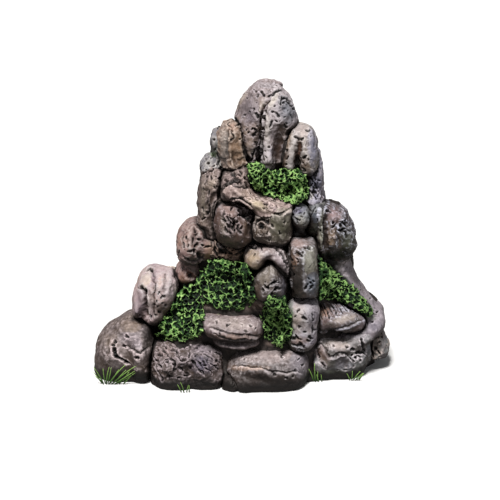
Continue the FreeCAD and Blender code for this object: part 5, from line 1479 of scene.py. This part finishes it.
def under_moss(points, normals):
    """1 where a point lies beneath a moss mat, seen from the display side."""
    out = np.zeros(len(points))
    uv = display_plane(points)
    facing = step(-0.2, 0.2, towards_view(normals))
    for node, spec in MOSS_SPECS.items():
        lo, hi = BOX[node]
        centre = centre_of(node)
        near = ((points[:, 1] > lo[1] - 8) & (points[:, 1] < hi[1] + 8)
                & (np.abs(points[:, 0] - centre[0]) < 30) & (facing > 0))
        if near.any():
            edge = in_outline(uv[near], spec["outline"], display_plane(centre[None])[0])
            ragged = edge + 0.8 * perlin(points[near].astype(F32), 2.5, 18.0)
            out[near] = np.maximum(out[near], step(0.8, -1.2, ragged) * facing[near])
    return out


def paint(points, normals, edges, marks, crease, room, form):
    """Grey-brown coat with painted light: washes and painted shade in the low places and on faces turned
    down, drybrush and painted highlight on the high places and tops.
    """
    p32 = points.astype(F32)
    base, tan, mauve, light = [srgb(colour) for colour in TONES[form.tone]]
    colour = np.tile(base, (len(points), 1))
    colour = mix(colour, tan, step(-0.05, 0.6, fbm(p32, 9.0, 3, 11.0)) * 0.85)
    colour = mix(colour, mauve, step(-0.05, 0.6, fbm(p32, 8.0, 3, 12.0)) * 0.75)
    mottle = fbm(p32, 3.0, 3, 13.0)
    colour = colour * (1 + 0.30 * mottle)[:, None]

    # how proud or sunk each point stands, at two sizes
    size = PITCH / 0.4
    fine = np.einsum("ij,ij->i", points - spread(points, edges, 3), normals) / size
    wide = np.einsum("ij,ij->i", points - spread(points, edges, 24), normals) / size
    wide = wide - np.median(wide)
    # how far a face turns up and to the front, towards the key light: drives the painted highlight and
    # painted shade below
    lit = normals[:, 2] * 0.8 - normals[:, 1] * 0.35      # turned up and to the front

    # drybrush on proud places, plus painted highlight on faces turned up to the light
    drybrush_and_highlight = (np.clip(10.0 * fine, 0, 1) * 0.75 + np.clip(1.1 * wide, 0, 0.6)
           + 0.45 * step(0.1, 0.9, lit) + 0.6 * marks.glow)
    drybrush_and_highlight = drybrush_and_highlight * (0.72 + 0.75 * perlin(p32, 1.3, 15.0)) + 0.12 * perlin(p32, 3.0, 14.0)
    drybrush_and_highlight = np.clip(drybrush_and_highlight, 0, None) ** form.bite
    gain = np.asarray(form.gain, float)
    light_gain = gain ** 0.45 if form.hi is None else np.asarray(form.hi, float)
    colour = mix(colour * gain, light * light_gain, drybrush_and_highlight * 0.9)

    # darker in the low places, partly washes and partly painted shade; painted shade on faces turned
    # down, going black on those turned further down
    low = np.clip(-11.0 * fine, 0, 1) * 0.95 + np.clip(-1.1 * wide, 0, 0.7)
    shade = step(0.46, -0.30, lit + 0.22 * fbm(p32, 5.0, 2, 16.0))
    colour = mix(colour, WASH_AND_SHADE_BROWN, low * 0.85)
    colour = mix(colour, WASH_AND_SHADE_BROWN, shade * 0.92)
    colour = mix(colour, BLACK, step(0.20, -0.50, lit + 0.15 * mottle) * 0.9)

    # stains: real tints, and patches of painted shade and painted highlight
    tint_light = 0.75 + 0.5 * (mottle + 0.4 * drybrush_and_highlight)
    share = marks.tint_share[:, None]
    colour = colour * (1 - share) + marks.tint * 0.8 * tint_light[:, None] * share

    # painted shadow beneath neighbours, painted shade near the ground, in the joints and under moss;
    # washes in the carved lines, with painted shade under flake edges
    under = step(0.75, 0.05, lit)
    colour = mix(colour, SHADE_BROWN, room * (0.12 + 0.83 * under))
    colour = mix(colour, SHADE_BLACK, room ** 1.5 * under * 0.75)
    colour = mix(colour, BLACK, step(8.5, 2.0, height_near_ground(points, normals, p32)) * 0.9)
    colour = mix(colour, JOINT_SHADE_BROWN, crease * 0.85)
    colour = mix(colour, BLACK, step(0.35, 1.0, crease) * 0.9)
    colour = mix(colour, BLACK, marks.wash_and_shade)
    colour = mix(colour, MOSS_SHADE, under_moss(points, normals) * 0.93)
    return np.clip(colour, 0.002, 0.95), drybrush_and_highlight


# ------------------------------------------------------------------ stones
def clear_cave_mouth(points):
    """Moves points that stand in the cave's mouth sideways, out of it."""
    depth = 0.4 - cave_field(points.astype(F32))
    wet = depth > 0
    away = np.where(points[wet, 0] > MOUTH_X, 1.0, -1.0)
    points[wet, 0] += away * np.minimum(depth[wet], 6.0) * (points[wet, 1] > MOUTH_Y)


def carve_stone(node):
    form = FORMS[node]
    pitch = PITCH_REAR if form.rear else PITCH
    lo, hi = REACH[node]
    lo = np.maximum(lo, (-1e3, -1e3, 0.0))
    seed = name_seed(node) % 97

    coarse = pitch * 2.0
    points, quads = surface(lo - 2.5, hi + 2.5, coarse, lambda spots: stone_field(node, spots))
    points, quads = keep_largest(points, quads)
    points, quads = refine(points, quads)
    points[:, 2] = np.maximum(points[:, 2], 0.0)
    normals = quad_normals(points, quads)

    p32 = points.astype(F32)
    heave = (1.25 * perlin(p32, 11.0, seed) + 0.75 * fbm(p32, 5.5, 2, seed + 4.0)
             + 0.28 * perlin(p32, 2.6, seed + 8.0))
    lift = step(0.0, 2.5, points[:, 2])
    points = displace(points, normals, form.rough * heave * (0.25 + 0.75 * lift))
    clear_cave_mouth(points)

    normals = quad_normals(points, quads)
    marks = Marks(node, points, normals)
    pit_push, pit_wash_and_shade, brow = pits(points, normals, form.pits)
    marks.brighten(0.55 * brow)
    marks.wash_and_shade = np.clip(np.maximum(marks.wash_and_shade, pit_wash_and_shade), 0, 1)
    points = displace(points, normals, (marks.push + pit_push) * step(0.0, 1.5, points[:, 2]))
    normals = quad_normals(points, quads)
    crease, room = creases(node, points, normals)
    colour, drybrush_and_highlight = paint(points, normals, edges_of(quads), marks, crease, room, form)
    return points, quads, {"paint": colour, "wash_and_shade": marks.wash_and_shade, "drybrush_and_highlight": drybrush_and_highlight}


# ------------------------------------------------------------------ mortar shell with the cave
def shell_field(points):
    dist = soft_min(shell_block(points), rubble(points, 3.0, 3.2) + F32(0.6), 2.0)
    dist = dist - F32(0.35) * fbm(points, 4.5, 2, 51.0)
    dist = np.maximum(dist, -points[:, 2])
    cave = cave_field(points) + F32(0.7) * fbm(points, 6.0, 2, 52.0)
    return soft_max(dist, -cave, 0.8)


def pour_shell():
    lo = np.array([CAD_LO[0] * 1000 + 2, CAD_LO[1] * 1000 + 2, -0.6])
    hi = np.array([CAD_HI[0] * 1000 - 2, CAD_HI[1] * 1000 - 2, SHELL_TOP + 8])
    points, quads = surface(lo, hi, PITCH_SHELL, shell_field)
    points, quads = keep_largest(points, quads)
    normals = quad_normals(points, quads)
    push, wash_and_shade, _ = pits(points, normals, 0.8)
    points = displace(points, normals, push * step(0.0, 1.5, points[:, 2]))
    normals = quad_normals(points, quads)
    inside = step(0.6, -0.6, cave_field(points.astype(F32)) - 1.2)
    crease, room = creases("cave_shell", points, normals)
    marks = Marks("cave_shell", points, normals)
    marks.wash_and_shade = wash_and_shade
    colour, drybrush_and_highlight = paint(points, normals, edges_of(quads), marks, crease, room * 0.6,
                        Form([], gain=(0.5, 0.46, 0.45)))
    colour = mix(colour, CAVE_BROWN, inside * 0.7)
    return points, quads, {"paint": colour, "wash_and_shade": wash_and_shade, "drybrush_and_highlight": drybrush_and_highlight}


# ------------------------------------------------------------------ moss mats
def foam(points, cell, seed):
    """Distances from the struts and from the skins of an open foam, mm."""
    spot = (points / cell).astype(F32)
    base = np.floor(spot).astype(np.int64)
    first, second, third = [np.full(len(points), 9.0, F32) for _ in range(3)]
    for shift in np.ndindex(3, 3, 3):
        corner = base + np.array(shift) - 1
        code = ((corner[:, 0] * 73856093) ^ (corner[:, 1] * 19349663)
                ^ (corner[:, 2] * 83492791) ^ (seed * 2654435))
        code = ((code & 0xFFFFFF) * 1103515245 + 12345) & 0x7FFFFFFF
        total = 0.0
        for k, bits in enumerate((3, 11, 19)):
            jitter = 0.76 * (((code >> bits) & 1023) / 1023.0)
            total = total + (corner[:, k] + 0.12 + jitter - spot[:, k]) ** 2
        dist = np.sqrt(total).astype(F32)
        third = np.minimum(third, np.maximum(second, dist))
        second = np.minimum(second, np.maximum(first, dist))
        first = np.minimum(first, dist)
    return (third - first) * F32(cell), (second - first) * F32(cell)


def grow_moss(node):
    spec = MOSS_SPECS[node]
    cell, lush = spec["cell"], spec["lush"]
    seed = name_seed(node) % 89
    origin_uv = display_plane(centre_of(node)[None])[0]
    outline = np.asarray(spec["outline"], float)
    uv_lo, uv_hi = outline.min(0) + origin_uv, outline.max(0) + origin_uv
    box_lo, box_hi = BOX[node]
    y_lo, y_hi = box_lo[1] - 7, box_hi[1] + 4
    heights = [(v - y * VIEW_SIN) / VIEW_COS for v in (uv_lo[1], uv_hi[1]) for y in (y_lo, y_hi)]
    lo = np.array([uv_lo[0] - 1, y_lo, max(0.5, min(heights) - 1)])
    hi = np.array([uv_hi[0] + 1, y_hi, max(heights) + 1])

    def ragged_edge(points):
        p32 = points.astype(F32)
        return (in_outline(display_plane(points), spec["outline"], origin_uv)
                + 1.3 * perlin(p32, 4.0, 61.0) + 0.5 * perlin(p32, 1.6, 62.0))

    def ground_and_crown(p32, edge):
        """Distance from the bed, and how high the mat stands on it."""
        ground = np.minimum(rubble(p32, 6.5), shell_block(p32))
        height = spec["thick"] * (0.72 + 0.5 * perlin(p32, 6.0, 63.0)) * step(0.5, -4.0, edge)
        return ground, 0.9 + height

    def envelope(points):
        edge = ragged_edge(points)
        dist = np.full(len(points), 3.0, F32)
        near = edge < 1.0
        if near.any():
            ground, crown = ground_and_crown(points[near], edge[near])
            dist[near] = np.maximum(np.maximum(edge[near], ground - crown), -(ground + 1.0))
        return dist

    def field(points):
        dist = envelope(points)
        near = dist < 0.9
        out = np.maximum(dist, 0.6)
        if not near.any():
            return out
        spots, depth = points[near], dist[near]
        warp = perlin_vector(spots, 2.2, 71.0, 72.0, 73.0)
        kink = perlin_vector(spots, 0.95, 74.0, 75.0, 76.0)
        # cells stand on end: open towards the display side, walls between them
        x, y, z = spots[:, 0], spots[:, 1], spots[:, 2]
        stand = np.stack([x, z * VIEW_COS + y * VIEW_SIN,
                          0.4 * (y * VIEW_COS - z * VIEW_SIN)], axis=1)
        struts, skins = foam(stand + 1.15 * warp + 0.3 * kink, cell, seed)
        wall = skins * 0.5 - spec["wall"] * (1.0 + 0.5 * perlin(spots, 1.5, 64.0))
        gone = step(0.05, 0.30, perlin(spots, 1.9, 68.0) + spec["broken"] - 0.25)
        knot = step(1.0, 0.2, struts)                # walls stand highest where three meet
        dip = depth + 0.8 * (1 - knot) * (0.6 + 0.9 * perlin(spots, 1.5, 69.0))
        shape = np.maximum(wall + 0.7 * gone * (1 - knot), dip)
        # a lower, finer layer of strands, then the backing
        _, strands = foam(stand[:, (1, 0, 2)] + 0.8 * warp - 0.3 * kink, cell * 0.56, seed + 7)
        lower = depth + 1.15 + 0.5 * perlin(spots, 1.7, 77.0)
        shape = np.minimum(shape, np.maximum(strands * 0.5 - 0.15, lower))
        shape = np.minimum(shape, depth + 2.5 + 0.35 * perlin(spots, 1.1, 78.0))
        out[near] = np.maximum(depth, shape)
        return out

    points, quads = surface(lo, hi, PITCH_MOSS, field)
    p32 = points.astype(F32)
    ground, crown = ground_and_crown(p32, ragged_edge(points))
    deep = crown - ground                     # mm below the local crown
    tone = fbm(p32, 5.0, 2, 66.0)
    fine = perlin(p32, 1.2, 67.0)
    outward = step(-0.2, 0.8, towards_view(quad_normals(points, quads)))
    # darker deeper below the crown: painted shade in the cells; lighter on the crowns and on faces
    # turned to the front, partly the moss's own light tips and partly painted light
    body = step(1.9, 0.6, deep) * (0.75 + 0.6 * tone) * (0.4 + 0.6 * outward)
    lift = step(0.95, 0.1, deep + 0.3 * fine) * (0.25 + 0.75 * outward) * lush
    tips = step(0.55, 0.05, deep + 0.3 * fine - 0.35 * tone) * outward * (0.6 + 0.5 * fine) * lush
    colour = mix(np.tile(MOSS_DARK, (len(points), 1)), MOSS_MID, body)
    colour = mix(colour, MOSS_LIGHT, lift * (0.8 + 0.7 * tone))
    colour = mix(colour, MOSS_LIME, tips)
    return points, quads, {"paint": colour}


# ------------------------------------------------------------------ turf tufts
def grow_turf(node):
    """Folded, bent blades of four points a row."""
    root, blades = TURF_SPECS[node]
    centre = centre_of(node)
    foot = np.array([centre[0] + root[0], centre[1] + root[1], 0.0])
    rng = np.random.default_rng(name_seed(node))
    points, faces, colours = [], [], []
    for root_x, root_y, lean, forward, length, width in blades:
        lean, forward = math.radians(lean), math.radians(forward)
        way = np.array([math.sin(lean), -math.sin(forward), math.cos(lean)])
        way /= np.linalg.norm(way)
        side = np.cross(way, (0, 1, 0))
        side /= np.linalg.norm(side)
        out = np.cross(side, way)
        bend = rng.uniform(-0.10, 0.14) * length
        start = len(points)
        for i in range(BLADE_ROWS):
            t = i / (BLADE_ROWS - 1)
            droop = np.array([0, 0, 0.06 * length * t * t])
            spine = (foot + (root_x, root_y, 0.25) + way * length * t + side * bend * t * t
                     - droop)
            wide = width * (1 - 0.82 * t ** 1.6) * (0.75 + 0.25 * min(1, t * 6))
            fold = 0.35 * wide
            points.extend([spine - side * wide / 2, spine - out * fold * 0.2 + out * fold,
                           spine + side * wide / 2, spine - out * 0.12])
            colours.extend([(BLADE_ROOT * (1 - t) + BLADE_TIP * t) * (0.35 + 0.75 * t)] * 4)
        for i in range(BLADE_ROWS - 1):
            row = start + 4 * i
            for k in range(4):
                after = (k + 1) % 4
                faces.append((row + k, row + after, row + 4 + after, row + 4 + k))
        faces.append((start + 3, start + 2, start + 1, start))
        tip = start + 4 * (BLADE_ROWS - 1)
        faces.append((tip, tip + 1, tip + 2, tip + 3))
    return np.array(points), np.array(faces), {"paint": np.clip(np.array(colours), 0, 1)}


# ------------------------------------------------------------------ materials
def set_inputs(tree, node, inputs):
    """Links the inputs that are given a socket and sets the others."""
    for key, value in inputs.items():
        if isinstance(value, bpy.types.NodeSocket):
            tree.links.new(value, node.inputs[key])
        else:
            node.inputs[key].default_value = value


def add_node(tree, kind, inputs, **settings):
    node = tree.nodes.new("ShaderNode" + kind)
    for key, value in settings.items():
        setattr(node, key, value)
    set_inputs(tree, node, inputs)
    return node


def map_range(tree, value, out, within=(0.0, 1.0)):
    """Takes value from the range within to the range out."""
    node = add_node(tree, "MapRange", {
        "Value": value, "From Min": within[0], "From Max": within[1],
        "To Min": out[0], "To Max": out[1]})
    return node.outputs["Result"]


def scaled(tree, colour, factor):
    node = add_node(tree, "VectorMath", {0: colour, "Scale": factor}, operation="SCALE")
    return node.outputs["Vector"]


def new_material(name):
    material = bpy.data.materials.new(name)
    material.use_nodes = True
    tree = material.node_tree
    return material, tree, tree.nodes["Principled BSDF"]


def painted(tree):
    """The paint attribute's colour and object coordinates."""
    attribute = tree.nodes.new("ShaderNodeAttribute")
    attribute.attribute_name = "paint"
    return attribute.outputs["Color"], tree.nodes.new("ShaderNodeTexCoord").outputs["Object"]


def rock_material(name, roughness, grain):
    material, tree, bsdf = new_material(name)
    colour, place = painted(tree)
    fine = add_node(tree, "TexNoise", {
        "Vector": place, "Scale": 1500.0, "Detail": 5.0, "Roughness": 0.65}).outputs["Fac"]
    patch = add_node(tree, "TexNoise", {
        "Vector": place, "Scale": 420.0, "Detail": 4.0}).outputs["Fac"]
    specks = add_node(tree, "TexVoronoi", {"Vector": place, "Scale": 700.0}).outputs["Distance"]
    colour = scaled(tree, colour, map_range(tree, fine, out=(0.80, 1.18), within=(0.3, 0.7)))
    # tiny dark specks of pigment, in patches
    speck = map_range(tree, specks, out=(0.55, 1.0), within=(0.10, 0.22))
    where = map_range(tree, patch, out=(0.0, 1.0), within=(0.45, 0.6))
    factor, unspecked, specked = 0, 2, 3      # inputs of a float mix
    speck_mix = add_node(tree, "Mix", {factor: where, unspecked: 1.0, specked: speck},
                         data_type="FLOAT")
    fine_bump = add_node(tree, "Bump", {
        "Strength": grain, "Distance": 0.00025, "Height": fine})
    patch_bump = add_node(tree, "Bump", {
        "Strength": grain * 0.8, "Distance": 0.0006, "Height": patch,
        "Normal": fine_bump.outputs["Normal"]})
    set_inputs(tree, bsdf, {
        "Base Color": scaled(tree, colour, speck_mix.outputs[0]),
        "Roughness": map_range(tree, patch, out=roughness),
        "Normal": patch_bump.outputs["Normal"],
        "Specular IOR Level": 0.42})
    return material


def leaf_material(name, roughness):
    material, tree, bsdf = new_material(name)
    colour, place = painted(tree)
    noise = add_node(tree, "TexNoise", {
        "Vector": place, "Scale": 1800.0, "Detail": 3.0}).outputs["Fac"]
    light = map_range(tree, noise, out=(0.72, 1.3), within=(0.3, 0.7))
    bump = add_node(tree, "Bump", {"Strength": 0.5, "Distance": 0.0002, "Height": noise})
    set_inputs(tree, bsdf, {
        "Base Color": scaled(tree, colour, light), "Roughness": roughness,
        "Normal": bump.outputs["Normal"]})
    return material


ROCK = {
    "brown_stone": rock_material("painted_resin_brown", roughness=(0.48, 0.75), grain=0.5),
    "pale_stone": rock_material("painted_resin_pale", roughness=(0.45, 0.72), grain=0.45),
    "grey_stone": rock_material("painted_resin_grey", roughness=(0.48, 0.75), grain=0.55),
    "dark_stone": rock_material("painted_resin_dark", roughness=(0.50, 0.80), grain=0.6),
    "shell_resin": rock_material("painted_resin_shell", roughness=(0.55, 0.85), grain=0.7),
}
MOSS = leaf_material("flocked_moss", roughness=0.8)
TURF = leaf_material("turf_blade", roughness=0.5)

# ------------------------------------------------------------------ building
# The shapes are worked out side by side, then put in the scene in a fixed order.
with ThreadPoolExecutor(max_workers=4) as pool:
    jobs = {"cave_shell": pool.submit(pour_shell)}
    jobs.update({node: pool.submit(grow_moss, node) for node in MOSS_SPECS})
    jobs.update({node: pool.submit(carve_stone, node) for node in STONES})
    made = {node: job.result() for node, job in jobs.items()}
show("cave_shell_mortar", "cave_shell", ROCK["shell_resin"], made["cave_shell"])
for node in STONES:
    show(node + "_carved", node, ROCK[SLOT[node]], made[node])
for node in MOSS_SPECS:
    show(node + "_mat", node, MOSS, made[node])
for node in TURF_SPECS:
    show(node + "_blades", node, TURF, grow_turf(node))


# ------------------------------------------------------------------ stage, light, camera
def camera_ray_pick(tree, others, camera):
    """One value for what the camera sees, another for the light thrown on things."""
    path = tree.nodes.new("ShaderNodeLightPath")
    return map_range(tree, path.outputs["Is Camera Ray"], out=(others, camera))


def add_floor():
    """A matt floor that throws little light back up."""
    bpy.ops.mesh.primitive_plane_add(size=6.0, location=(0, 0, 0))
    floor = bpy.context.object
    floor.name = "studio_floor"
    material, tree, bsdf = new_material("pale_floor")
    set_inputs(tree, bsdf, {
        "Base Color": camera_ray_pick(tree, others=0.30, camera=0.90), "Roughness": 0.9})
    floor.data.materials.append(material)


def add_world():
    world = bpy.data.worlds.new("studio")
    world.use_nodes = True
    tree = world.node_tree
    set_inputs(tree, tree.nodes["Background"], {
        "Color": (1.0, 1.0, 1.0, 1),
        "Strength": camera_ray_pick(tree, others=0.12, camera=1.0)})
    bpy.context.scene.world = world


def add_aimed(name, data, direction):
    """An object that looks or shines along direction."""
    thing = bpy.data.objects.new(name, data)
    bpy.context.scene.collection.objects.link(thing)
    thing.rotation_mode = "QUATERNION"
    thing.rotation_quaternion = Vector(direction).to_track_quat("-Z", "Y")
    return thing


def add_lights():
    sun = bpy.data.lights.new("key_sun", "SUN")
    sun.energy = 4.3
    sun.angle = math.radians(14)
    sun.color = (1.0, 0.985, 0.96)
    add_aimed("key_sun", sun, direction=(0.16, 0.42, -0.9))

    fill = bpy.data.lights.new("fill_right", "AREA")
    fill.shape = "DISK"
    fill.size = 0.5
    fill.energy = 0.6
    fill.color = (0.94, 0.96, 1.0)
    place, target = np.array((0.6, -0.6, 0.30)), np.array((0, 0, 0.06))
    add_aimed("fill_right", fill, direction=target - place).location = place


def add_camera():
    lo, hi = np.array(CAD_LO), np.array(CAD_HI)
    middle = (lo + hi) / 2
    height = hi[2] - lo[2]
    lens = bpy.data.cameras.new("display_view")
    lens.lens = 100.0
    lens.sensor_width = 36.0
    lens.clip_start, lens.clip_end = 0.01, 20.0
    target = Vector((middle[0] + 0.0042, middle[1] + 0.0018, lo[2] + height * 0.4087))
    back = Vector((0, -VIEW_COS, VIEW_SIN))
    camera = add_aimed("display_view", lens, direction=-back)
    camera.location = target + back * (height * 4.739)
    bpy.context.scene.camera = camera


add_floor()
add_world()
add_lights()
add_camera()
bpy.context.scene.view_settings.view_transform = "Standard"
